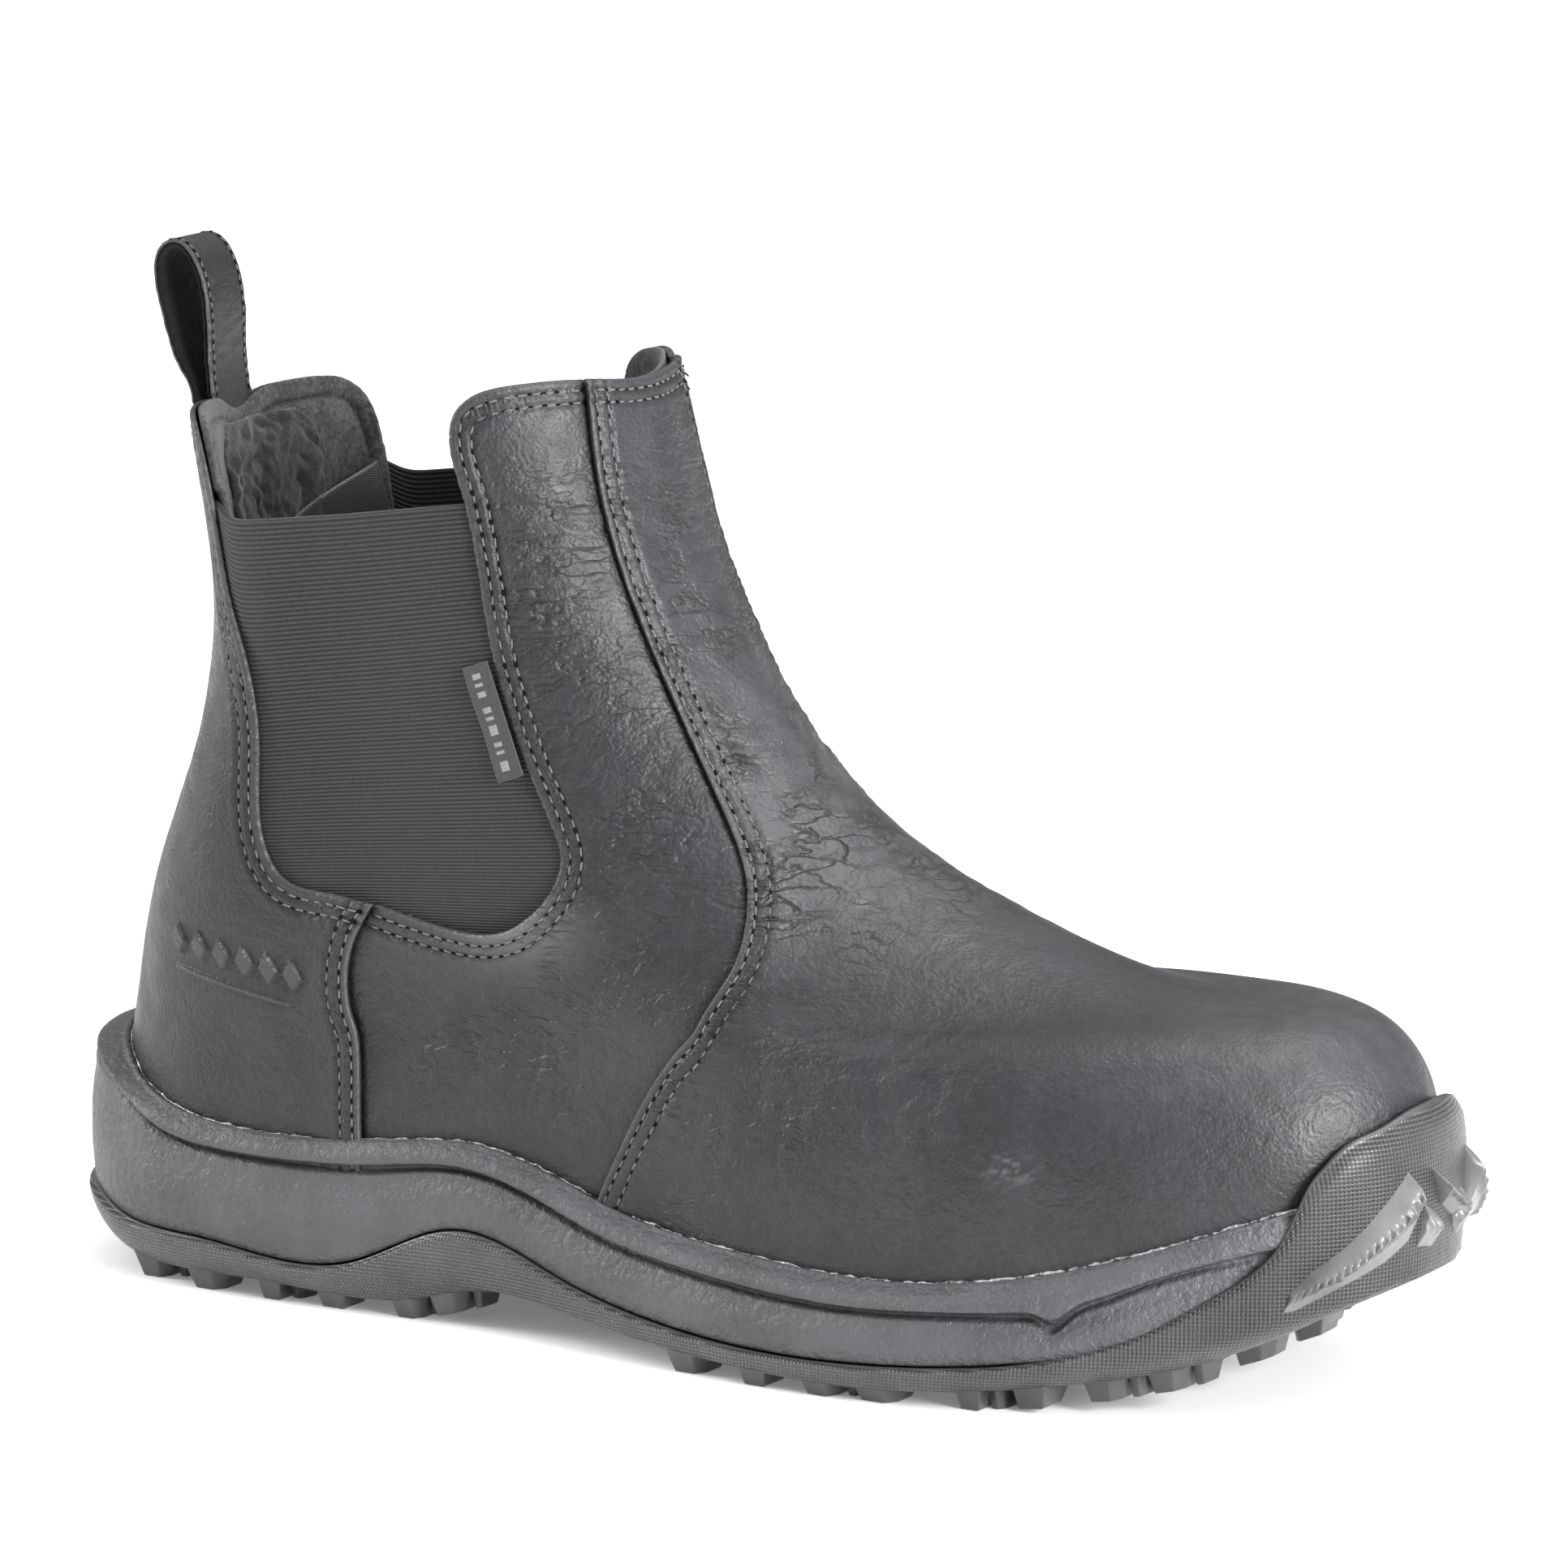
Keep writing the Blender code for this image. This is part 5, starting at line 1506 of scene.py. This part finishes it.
def outsole():
    """Rubber sole with its side wall and toe bumper, as rings from the ground up."""
    count = 1440
    angles, around = even_angles(count)
    bottom = sole_outline(SOLE_BOTTOM, angles)
    bottom_z = line_height(bottom[:, 0], BOTTOM_LINE)
    outward = outward_of(angles)
    top, parting_z = bumper_top(angles)
    climb = top - parting_z
    bumper = smooth_step(climb, 0, 12)[:, None]
    rings = []
    marks = []

    def add(plan, height, grid=0.0):
        rings.append(np.column_stack([plan, height]))
        marks.append(np.full(count, grid))

    add(sole_outline(SOLE_BOTTOM, angles, -6.0), bottom_z)
    add(bottom - outward * 1.2, bottom_z)
    add(bottom - outward * 0.35, bottom_z + 0.15)
    parting = sole_outline(SOLE_PARTING, angles)
    shares = np.concatenate([np.linspace(0.0, 0.9, 22), [0.94, 0.97, 0.99, 1.0]])
    for share in shares:
        height = between(bottom_z + 0.5, top, share)
        rise = np.clip((height - parting_z) / BUMPER_CLIMB, 0, 1)[:, None]
        wall = wall_plan(angles, rise) + outward * between(1.3, BUMPER_THICKNESS * 0.9, bumper)
        below = np.clip((height - bottom_z) / np.maximum(parting_z - bottom_z, 1), 0, 1)[:, None]
        rounded_in = between(bottom, wall, np.sin(below * np.pi / 2) ** 0.8)
        plan = np.where(height[:, None] < parting_z[:, None], rounded_in, wall)
        rounding = 1.1 * smooth_step(share, 0.86, 1.0) ** 2
        add(plan - outward * rounding, height, 1.0 if share < 0.985 else 0.0)
    crest = rings[-1][:, :2]
    add(crest - outward * 0.9, top + 0.12)
    add(crest - outward * 1.6, top - 0.1)
    add(crest - outward * 2.0, top - 0.8)
    inner = parting - outward * 1.2
    inner_top = between(parting_z - 0.1, top - 4, smooth_step(climb, 2, 14))
    add(between(inner, crest - outward * 2.4, bumper * 0.9), inner_top)
    add(inner, parting_z - 0.3)
    add(sole_outline(SOLE_PARTING, angles, -7.0), line_height(parting[:, 0], FLOOR_LINE) - 0.2)
    points = np.concatenate(rings)
    grid = np.concatenate(marks)
    travel = np.tile(np.arange(count) * around / count / GRID_PITCH, len(rings))
    wave = 0.12 * noise(points, 14, 71) + 0.05 * noise(points, 2.0, 72)
    push = np.tile(np.column_stack([outward, np.zeros(count)]), (len(rings), 1))
    points = points + push * (wave * grid)[:, None]
    values = {"grid": grid, "wall_u": travel, "wall_v": points[:, 2] / GRID_PITCH}
    item = ring_body("outsole_body", points.reshape(len(rings), count, 3), LOOKS["rubber"], values)
    place_piece(item, "outsole_rubber", ["outsole"])


def bevelled(points, faces, width):
    """The block with its edges bevelled, as arrays."""
    work = bmesh.new()
    made = [work.verts.new(point) for point in points]
    for face in faces:
        work.faces.new([made[i] for i in face])
    bmesh.ops.recalc_face_normals(work, faces=work.faces)
    bmesh.ops.bevel(work, geom=list(work.edges), offset=width, segments=2, profile=0.6, affect="EDGES")
    bmesh.ops.triangulate(work, faces=work.faces)
    work.verts.index_update()
    result = np.array([tuple(vertex.co) for vertex in work.verts])
    triangles = np.array([[vertex.index for vertex in face.verts] for face in work.faces])
    work.free()
    return result, triangles


def lug_rows():
    """Every lug: centre x and y, length, width, turn in degrees, and the share its foot keeps."""
    rows = []
    outer_side = (
        (27, 7.5), (44, 8.5), (60, 7.5), (75, 9.5), (94, 7.0), (104, 7.5),
        (166, 8.5), (182, 8.5), (199, 8), (212, 9.5), (231, 7.5), (243, 10), (258, 8), (270, 8),
    )
    for side in (-1, 1):
        for x, length in outer_side:
            turn = math.degrees(math.acos(1 - 2 * (x - 4) / 300))
            plan = sole_outline(SOLE_BOTTOM, np.array([turn if side < 0 else 360 - turn]), -5.2)[0]
            rows.append((plan[0], plan[1], length, 10.5, side * 4.0, 0.74))
            if length < 8.2:
                rows.append((plan[0] + length * 0.72, plan[1] - side * 1.5, 3.4, 7.0, side * 14.0, 0.7))
    for x in (16, 33, 50, 67, 84):
        for y, turn in ((-11, 28), (10, -28)):
            rows.append((x + 3, y, 8.5, 11, turn, 0.82))
    for x in (150, 166, 182, 198, 214, 230, 246, 262):
        for y, turn in ((-24, 24), (-6, 0), (12, -24)):
            spread = 1.0 if x < 240 else 0.66
            rows.append((x, y * spread - 1, 8.5, 11, turn, 0.82))
    for x, y in ((278, -13), (282, 3), (276, 19), (120, -22), (134, -26)):
        rows.append((x, y, 8.0, 9.5, 0, 0.82))
    return rows


LUG_DEPTH = 4.4
LUG_FACES = ((0, 1, 2, 3, 4), (9, 8, 7, 6, 5), *((k, (k + 1) % 5, 5 + (k + 1) % 5, 5 + k) for k in range(5)))


def lugs():
    """Tapered lugs with one cut corner each, standing on the ground plane where the sole is flat."""
    points = []
    faces = []
    count = 0
    for n, (x, y, length, width, turn, foot) in enumerate(lug_rows()):
        behind, base, ahead = line_height(np.array([x - 4.0, x, x + 4.0]), BOTTOM_LINE)
        low = max(base - LUG_DEPTH, 0.02)
        slope = 0.0 if low < 0.6 else (ahead - behind) / 8
        cosine, sine = math.cos(math.radians(turn)), math.sin(math.radians(turn))
        outline = ((-1, -1), (0.45, -1), (1, -0.35), (1, 1), (-1, 1))
        if n % 2:
            outline = ((-1, -0.35), (-0.45, -1), (1, -1), (1, 1), (-1, 1))
        corners = []
        for height, share in ((low, foot), (base + 1.8, 1.12)):
            for a, b in outline:
                u = a * length / 2 * share
                w = b * width / 2 * share
                dx = u * cosine - w * sine
                corners.append((x + dx, y + u * sine + w * cosine, height + slope * dx))
        shape, triangles = bevelled(corners, LUG_FACES, 0.38)
        points.append(shape)
        faces.append(triangles + count)
        count += len(shape)
    zero = np.zeros(count)
    item = add_mesh(
        "outsole_lugs", np.concatenate(points), [np.concatenate(faces)], LOOKS["rubber"], smooth=False,
        values={"grid": zero, "wall_u": zero, "wall_v": zero}, outward=False,
    )
    place_piece(item, "outsole_rubber")


# ---------------------------------------------------------------- linings and trim inside


def lining_relief(points):
    none = np.zeros(len(points))
    return 0.35 * noise(points, 9, 81) + 0.2 * noise(points, 3.4, 82), none, none


class Lining(Panel):
    """A lining: its outer face is deep under the leather and comes up to it along the edges."""

    def heights(self, angle, rise):
        points = last_point(angle, rise)
        fluff, wear_and_highlight, _ = self.relief(points)
        over_cap = smooth_step(points[:, 0], 214, 229)
        over_counter = smooth_step(-points[:, 0], -94, -80) * smooth_step(-points[:, 2], -96, -80)
        depth = LINING_DEPTH + 3.0 * np.maximum(over_cap, over_counter)
        edge = np.full(len(points), 99.0)
        for side in self.sides:
            if side.kind == "turned":
                edge = np.minimum(edge, distances(side.tree, points))
        at_gore = (rise < 84) & (edge < 12)
        near_edge = np.where(at_gore, 2.95, 1.9)
        depth = np.where(edge < 12, between(near_edge, depth, smooth_step(edge, 1.5, 9)), depth)
        thick = LINING - 0.9 * (rounded(edge, 1.4) / 1.4)
        outer = -(depth + thick) - fluff * (1 - np.exp(-edge / 2))
        sewn = 0.7 * bell(edge - 4.2, 0.7) * (rise > 83)
        ridge = near(points, (45, 34, 165), (1.6, 20, 60)) - near(points, (40, 32, 165), (1.8, 20, 60))
        return outer + sewn - 0.9 * ridge, -depth, {"shade": np.clip(1.3 * sewn, 0, 1), "wear_and_highlight": wear_and_highlight}


def linings():
    seam = [(76.5, 43.3), *HEEL_SEAM[1:-1], (60.5, 1.6)]
    heel = Lining(
        [
            Side("turned", HEEL_TURNED),
            Side("hidden", seam),
            Side("hidden", [(60.5, 1.6), (30, 1.6), (0, 1.6), (-30, 1.6), (-60.5, 1.6)]),
            Side("hidden", mirrored(seam, 0)),
        ],
        lining_relief,
        HEEL_LINING_CELL,
    )
    half_turned = [*QUARTER_TURNED, (165, 91.7), (180, 91.5)]
    front = Lining(
        [
            Side("turned", half_turned + mirrored(half_turned)[1:]),
            Side("hidden", mirrored(seam[::-1])),
            Side("hidden", [(299.5, 1.6), (240, 1.6), (180, 1.6), (120, 1.6), (60.5, 1.6)]),
            Side("hidden", seam[::-1]),
        ],
        lining_relief,
        FRONT_LINING_CELL,
    )
    heel.mesh("heel_fleece", LOOKS["fleece"], "lining", "heel_lining")
    front.mesh("front_fleece", LOOKS["fleece"], "lining", "front_lining")


# ---------------------------------------------------------------- sheets, pull tab and trim


def unit_slopes(grid):
    """Normals of a grid of points."""
    return unit(np.cross(np.gradient(grid, axis=0), np.gradient(grid, axis=1)))


def slab(name, grid, normals, low, high, material, round_over=0.6, values=None):
    """Closed sheet from a grid of middle points; low and high are offsets along the normals."""
    shape = grid.shape[:2]
    middle = (np.asarray(low) + np.asarray(high)) / 2
    fall = rounded(edge_distance(grid), round_over) / round_over
    top = np.broadcast_to(high, shape)
    bottom = np.broadcast_to(low, shape)
    top = (top + (middle - top) * 0.8 * fall)[..., None]
    bottom = (bottom + (middle - bottom) * 0.8 * fall)[..., None]
    return closed_sheet(name, grid + normals * top, grid + normals * bottom, shape, material, values or {})


def edge_distance(grid):
    """Distance of every grid point to the nearest border of the grid, over the surface."""
    down = np.linalg.norm(np.diff(grid, axis=0), axis=2)
    across = np.linalg.norm(np.diff(grid, axis=1), axis=2)
    from_top = np.concatenate([np.zeros((1, grid.shape[1])), np.cumsum(down, axis=0)])
    from_left = np.concatenate([np.zeros((grid.shape[0], 1)), np.cumsum(across, axis=1)], axis=1)
    gaps = [from_top, from_top[-1:] - from_top, from_left, from_left[:, -1:] - from_left]
    return np.min(gaps, axis=0)


def hinged():
    """A placing function: the piece keeps its place in the frame, and the CAD nodes it stands for are hidden.
    """

    def place(item, slot, nodes=()):
        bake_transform(item)
        if nodes:
            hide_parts(*nodes)
        return item

    return place


def strap_grid():
    """Middle surface of the pull tab's strap, from the tail on the heel over the loop into the collar."""
    across = np.linspace(-1, 1, 25)
    rows = [body_point(TAIL_ANGLE * across, rise, -1.05) for rise in TAIL_RISES]
    for x, z in TAB_PATH:
        place = np.array([TAB_PIVOT[0] + x, 0, TAB_PIVOT[1] + z])
        rows.append(place + np.outer(across * TAB_WIDTH / 2, (0, 1, 0)))
    rows = np.array(rows)
    centre = rows[:, 12]
    travel = travelled(centre)
    count = int(travel[-1] / 0.55)
    return spline(np.linspace(0, travel[-1], count), travel, rows)


def pull_tab():
    """Leather strap with a suede lining, stitched along both edges."""
    grid = strap_grid()
    flat = grid.reshape(-1, 3)
    sway = 0.5 * noise(flat, 13, 91).reshape(grid.shape[:2])
    edge = np.abs(np.linspace(-1, 1, 25))[None, :] ** 6
    scallop = 0.28 * edge * np.sign(np.linspace(-1, 1, 25))[None, :]
    low_leg = smooth_step(-grid[..., 2], -206, -196) * (grid[..., 0] > 27)
    scallop = scallop * noise(flat, 2.2, 92).reshape(sway.shape) * (1 + low_leg)
    grid = grid + np.stack([sway * 0.5, scallop, 0 * sway], axis=-1)
    normals = unit_slopes(grid)
    top = np.argmax(grid[:, 12, 2])
    normals = normals * np.sign(normals[top, 12, 2])
    pucker = 0.22 * noise(flat, (3, 6, 1.6), 93).reshape(sway.shape) * (0.3 + low_leg)
    seam = np.abs(np.abs(np.linspace(-1, 1, 25)) * TAB_WIDTH / 2 - TAB_ROW)[None, :]
    groove = 0.16 * bell(seam, 0.5)
    place = hinged()
    wear_and_highlight = np.clip(0.05 + 0.3 * np.exp(-edge_distance(grid) / 0.5) + 0.1 * low_leg, 0, 1)
    values = {"wear_and_highlight": wear_and_highlight, "shade": np.full(wear_and_highlight.shape, 0.5)}
    face = 0.85 + pucker - groove
    skin = slab("pull_tab_leather", grid, normals, -0.1, face, LOOKS["leather"], 0.5, values)
    place(skin, "tab_leather", ["pull_tab", "pull_tab_outer_tail"])
    nap = 0.20 * noise(flat, 1.3, 94).reshape(sway.shape) + 0.12 * noise(flat, 0.7, 95).reshape(sway.shape)
    place(slab("pull_tab_suede", grid, normals, -0.85 + nap, -0.05, LOOKS["dark_suede"], 0.4), "grip_suede")
    rows = []
    for sign in (-1, 1):
        share = (sign * TAB_ROW / (TAB_WIDTH / 2) + 1) / 2 * 24
        k = int(share)
        line = between(grid[:, k], grid[:, k + 1], share - k)
        normal = between(normals[:, k], normals[:, k + 1], share - k)
        keep = slice(2, -18)
        rows.append(stitches_along((line + normal * 0.72)[keep], normal[keep], 2.2, 0.34))
    stitch_object("pull_tab_thread", rows, "tab_leather", place)


def reinforcement():
    """Crumpled suede sewn over the lining behind the pull tab."""
    rises = np.linspace(58, 88.2, 120)
    angles = np.linspace(-1, 1, 110)
    wide = between(19, 25, smooth_step(-rises, -88.4, -86.5))
    angle = angles[None, :] * wide[:, None]
    rise = np.broadcast_to(rises[:, None], angle.shape)
    base = last_point(angle.ravel(), rise.ravel())
    fold = furrows(base * (1, 1.4, 1), 62, (14, 5.0), 96) + 0.8 * furrows(base, -35, (10, 4.0), 97)
    depth = 5.9 + 0.5 - 1.5 * fold + 0.35 * noise(base, 2.5, 98)
    depth = depth + 0.8 * smooth_step(base[:, 2], 150, 170)
    grid = body_point(angle, rise, depth.reshape(angle.shape))
    normals = -last_normal(angle, rise)
    item = slab("heel_grip_suede", grid, normals, -1.5, 0.5, LOOKS["suede"], 0.7)
    place_piece(item, "grip_suede", ["heel_grip_patch", "pull_tab_inner_tail"])


def satin_flap():
    """Folded satin label that stands inside the collar on the inner side."""
    u = np.linspace(0, 1, 70)[:, None]
    v = np.linspace(0, 1, 36)[None, :]
    (a0, r0), (a1, r1), (a2, r2), (a3, r3) = FLAP_CORNERS
    angle = (a0 * (1 - u) + a1 * u) * (1 - v) + (a3 * (1 - u) + a2 * u) * v
    rise = (r0 * (1 - u) + r1 * u) * (1 - v) + (r3 * (1 - u) + r2 * u) * v
    crease = 0.45 * np.exp(-np.abs(u - 0.47) / 0.03) + 0 * v
    depth = 8.7 - 1.6 * u + 0.8 * (1 - v) * (0.5 + 0.5 * u) - crease
    grid = body_point(angle, rise, depth)
    normals = unit_slopes(grid)
    item = slab("size_flap_satin", grid, normals, -0.28, 0.28, LOOKS["satin"], 0.3)
    place_piece(item, "satin", ["size_flap"])


def side_label():
    """Woven tape with plain light bars, caught in the seam beside the gore."""
    low = body_point(111.6, 57.6, -0.5)
    high = body_point(112.0, 68.2, -0.5)
    along = (high - low) / np.linalg.norm(high - low)
    normal = last_normal(109.5, 62.9)
    normal = unit(normal - along * float(normal @ along))
    back = np.cross(along, normal)
    back = back * -math.copysign(1, back[0])
    u = np.linspace(0, 1, 110)[:, None]
    v = np.linspace(-0.25, 1, 44)[None, :]
    length = np.linalg.norm(high - low)
    wave = 0.22 * np.sin(u * 9.0 + 1.0) * np.clip(v, 0, 1) - 0.55 * np.clip(v, 0, 1) ** 2
    grid = low + (u * length)[..., None] * along + (v * LABEL_WIDTH)[..., None] * back
    grid = grid + ((wave - 0.35)[..., None] * normal)
    bars = (np.abs(v - 0.42) < 0.20) * (np.sin(u * 2 * math.pi * 10 + 1.4 * np.sin(u * 23)) > 0.1)
    bars = bars * (u > 0.08) * (u < 0.92)
    weave = 0.05 * np.sin(u * length * 2 * math.pi / 0.55) + 0 * v
    normals = np.broadcast_to(normal, grid.shape)
    values = {"stripe": bars.astype(float)}
    item = slab("side_label_tape", grid, normals, -0.3, 0.3 + weave, LOOKS["tape"], 0.25, values)
    hinged()(item, "label_tape", ["side_label"])


def footbed():
    """Cushioned footbed with a quilted fabric top."""
    count = 300
    angles = np.arange(count) * 360 / count
    depth = LINING_DEPTH + LINING + 0.6
    toe = smooth_step(last_point(angles, 3.0)[:, 0], 214, 229)
    low = body_point(angles, 1.0, depth + 3.0 * toe + 1.6)
    high = body_point(angles, 3.6, depth + 3.0 * toe + 1.0)
    centre = np.column_stack([np.clip(high[:, 0], 60, 250), np.zeros(count), high[:, 2]])
    under = centre * (1, 1, 0) + low * (0, 0, 1)
    rings = [between(low, under, share) for share in (0.9, 0.3, 0.05, 0)]
    for share, lift in ((0.0, -0.6), (0.01, 0.0), (0.03, 0.35)):
        rings.append(between(high, centre, share) + np.array([0, 0, lift]))
    for share in np.linspace(0.06, 0.96, 46):
        ring = between(high, centre, share)
        x, y = ring[:, 0] * 0.55, ring[:, 1] * 0.55
        quilt = 0.35 * np.abs(np.sin(x + y)) * np.abs(np.sin(x - y))
        dish = 0.8 * np.exp(-share * 5)
        ring[:, 2] += quilt + dish - 0.2
        rings.append(ring)
    item = ring_body("footbed_cushion", np.array(rings), LOOKS["fleece"])
    place_piece(item, "footbed", ["footbed"])


# ---------------------------------------------------------------- toe lugs


def wall_places(places, out):
    """Points on the toe wall at (angle, height) places, this far outside it."""
    angle, height = np.asarray(places, float).T
    parting_z = line_height(sole_outline(SOLE_PARTING, angle)[:, 0], PARTING_LINE)
    share = np.clip((height - parting_z) / BUMPER_CLIMB, 0, 1)[:, None]
    plan = wall_plan(angle, share) + outward_of(angle) * np.reshape(out, (-1, 1))
    return np.column_stack([plan, height])


def toe_lug(name, spine, crest, foot, tallest, teeth, seed):
    """A lug on the toe wall: a face climbing to a chewed crest, and a steep foot below it."""
    count, columns = 110, 30
    t = np.linspace(0, 1, count)
    lines = []
    for line in (spine, crest, foot):
        knots = np.linspace(0, 1, len(line))
        angles, heights = zip(*line)
        lines.append(np.column_stack([np.interp(t, knots, angles), np.interp(t, knots, heights)]))
    upper, middle, lower = lines
    s = np.linspace(0, 1, columns)[:, None]
    on_face = np.clip(s / 0.5, 0, 1)
    on_foot = np.clip((s - 0.5) / 0.5, 0, 1)
    grid = upper + (middle - upper) * on_face[..., None] + (lower - middle) * on_foot[..., None]
    rough = noise(np.column_stack([t * 50, t, t]), 1.0, seed)
    tooth = np.abs((t * teeth + 0.35 * rough) % 1 - 0.5) * 2 + 0.5 * rough
    band = bell(s - 0.52, 0.10)
    grid[..., 1] += 1.1 * (tooth - 0.5) * band
    lift = between(0.7, tallest, on_face) - (tallest - 2.0) * on_foot ** 0.8 - 1.5 * tooth * band
    lift = lift * between(0.55, 1, smooth_step(1 - t, 0, 0.25)) + 0.9
    top = wall_places(grid.reshape(-1, 2), lift.ravel()).reshape(columns, count, 3)
    base = wall_places(grid.reshape(-1, 2), np.full(lift.size, 0.6)).reshape(columns, count, 3)
    centre = (top + base) / 2
    half = (top - base) / 2
    reach = np.linalg.norm(half, axis=2)
    values = {key: np.zeros(centre.shape[:2]) for key in ("grid", "wall_u", "wall_v")}
    # The lighter rubber of the toe lugs is painted highlight.
    item = slab(name, centre, half / reach[..., None], -reach, reach, LOOKS["highlit_toe_rubber"], 0.3, values)
    place_piece(item, "outsole_rubber")


def toe_lugs():
    spine = [(170.5, 52), (165.2, 45), (162.8, 41.4), (159.6, 37.3), (155.2, 32.9), (152.6, 29)]
    crest = [(171.3, 46.2), (168.4, 42), (163.9, 37.2), (160, 33.6), (156, 30.2), (152.8, 27)]
    foot = [(170.6, 35.8), (166.2, 32.2), (162.6, 30.2), (158.4, 27.8), (154.4, 25), (151.2, 21.8)]
    block_spine = [(174, 44.8), (177.6, 40.8)]
    block_crest = [(173.6, 39.6), (177.6, 37.6)]
    block_foot = [(172.4, 34.4), (176.8, 33.4)]
    for side, sign in (("outer", 1), ("inner", -1)):
        def lines(*groups):
            return [[(180 + sign * (angle - 180), z) for angle, z in group] for group in groups]

        toe_lug("toe_lug_" + side, *lines(spine, crest, foot), 6.6, 19, 3)
        toe_lug("toe_block_" + side, *lines(block_spine, block_crest, block_foot), 4.6, 3, 4)
    tip_spine = [(175, 51.5), (178.6, 47.6), (182.6, 45)]
    tip_crest = [(176.6, 46), (180, 42.4), (184, 41)]
    tip_foot = [(178, 41.6), (181, 38.8), (184, 37.2)]
    toe_lug("toe_lug_tip", tip_spine, tip_crest, tip_foot, 6.8, 5, 5)


# ---------------------------------------------------------------- stage


FLOOR_SIZE = 24.0
FLOOR_GLOW = 0.16


def stage():
    mesh = bpy.data.meshes.new("floor")
    half = FLOOR_SIZE / 2
    corners = [(-half, -half, 0), (half, -half, 0), (half, half, 0), (-half, half, 0)]
    mesh.from_pydata(corners, [], [(0, 1, 2, 3)])
    floor = bpy.data.objects.new("floor", mesh)
    bpy.context.scene.collection.objects.link(floor)
    look = Look("pale_floor", (0.9, 0.9, 0.9), 0.9, specular=0.1)
    look.shader.inputs["Emission Color"].default_value = (1, 1, 1, 1)
    look.shader.inputs["Emission Strength"].default_value = FLOOR_GLOW
    mesh.materials.append(look.material)


def lamp(name, place, target, size, power):
    data = bpy.data.lights.new(name, "AREA")
    data.shape = "RECTANGLE"
    data.size, data.size_y = size
    data.energy = power
    item = bpy.data.objects.new(name, data)
    bpy.context.scene.collection.objects.link(item)
    item.location = place
    item.rotation_mode = "QUATERNION"
    item.rotation_quaternion = (Vector(target) - Vector(place)).to_track_quat("-Z", "Y")


def lights():
    """A sky that is brightest overhead, and the lamps."""
    world = bpy.data.worlds.new("studio")
    bpy.context.scene.world = world
    world.use_nodes = True
    nodes = world.node_tree.nodes
    links = world.node_tree.links
    place = nodes.new("ShaderNodeTexCoord")
    split = nodes.new("ShaderNodeSeparateXYZ")
    links.new(place.outputs["Generated"], split.inputs["Vector"])
    power = nodes.new("ShaderNodeMath")
    power.operation = "POWER"
    power.use_clamp = True
    power.inputs[1].default_value = 1.6
    links.new(split.outputs["Z"], power.inputs[0])
    scale = nodes.new("ShaderNodeMath")
    scale.operation = "MULTIPLY_ADD"
    scale.inputs[1].default_value = SKY_TOP
    scale.inputs[2].default_value = SKY_EDGE
    links.new(power.outputs["Value"], scale.inputs[0])
    links.new(scale.outputs["Value"], nodes["Background"].inputs["Strength"])
    nodes["Background"].inputs["Color"].default_value = (1, 1, 1, 1)
    for name, spot, size, strength in LAMPS:
        lamp(name, spot, (0, 0, 0.09), size, strength)


def camera():
    """Camera in front of the outer side, turned towards the toe and a little above it."""
    turn = math.radians(CAMERA_TURN)
    lift = math.radians(CAMERA_LIFT)
    back = Vector((math.sin(turn) * math.cos(lift), -math.cos(turn) * math.cos(lift), math.sin(lift)))
    right = Vector((math.cos(turn), math.sin(turn), 0))
    up = back.cross(right)
    aim = Vector(((150 - CENTRE_X) * MM, -CENTRE_Y * MM, 110 * MM))
    aim += right * CAMERA_SHIFT[0] + up * CAMERA_SHIFT[1]
    data = bpy.data.cameras.new("camera")
    data.sensor_width = 36
    data.lens = CAMERA_LENS
    item = bpy.data.objects.new("camera", data)
    bpy.context.scene.collection.objects.link(item)
    item.location = aim + back * CAMERA_DISTANCE
    item.rotation_mode = "QUATERNION"
    item.rotation_quaternion = (-back).to_track_quat("-Z", "Y")
    bpy.context.scene.camera = item
    bpy.context.scene.view_settings.view_transform = "Standard"


def inside_nodes():
    """Materials for the CAD pieces that stay as they are."""
    for name, look in (
        ("steel_toe_cap", "steel"), ("toe_cap_edge_strip", "counter"), ("shank", "spring"),
        ("insole_board", "board"), ("heel_counter", "counter"),
    ):
        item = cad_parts[name]
        item.data.materials.clear()
        item.data.materials.append(LOOKS[look])


def build():
    inside_nodes()
    panels = leather_panels()
    seam_threads(panels)
    gore("lateral_gore_webbing", "lateral_gore", False)
    gore("medial_gore_webbing", "medial_gore", True)
    angles, rises = midsole()
    cement_line(angles, rises)
    outsole()
    lugs()
    linings()
    pull_tab()
    reinforcement()
    satin_flap()
    side_label()
    footbed()
    toe_lugs()
    stage()
    lights()
    camera()


build()
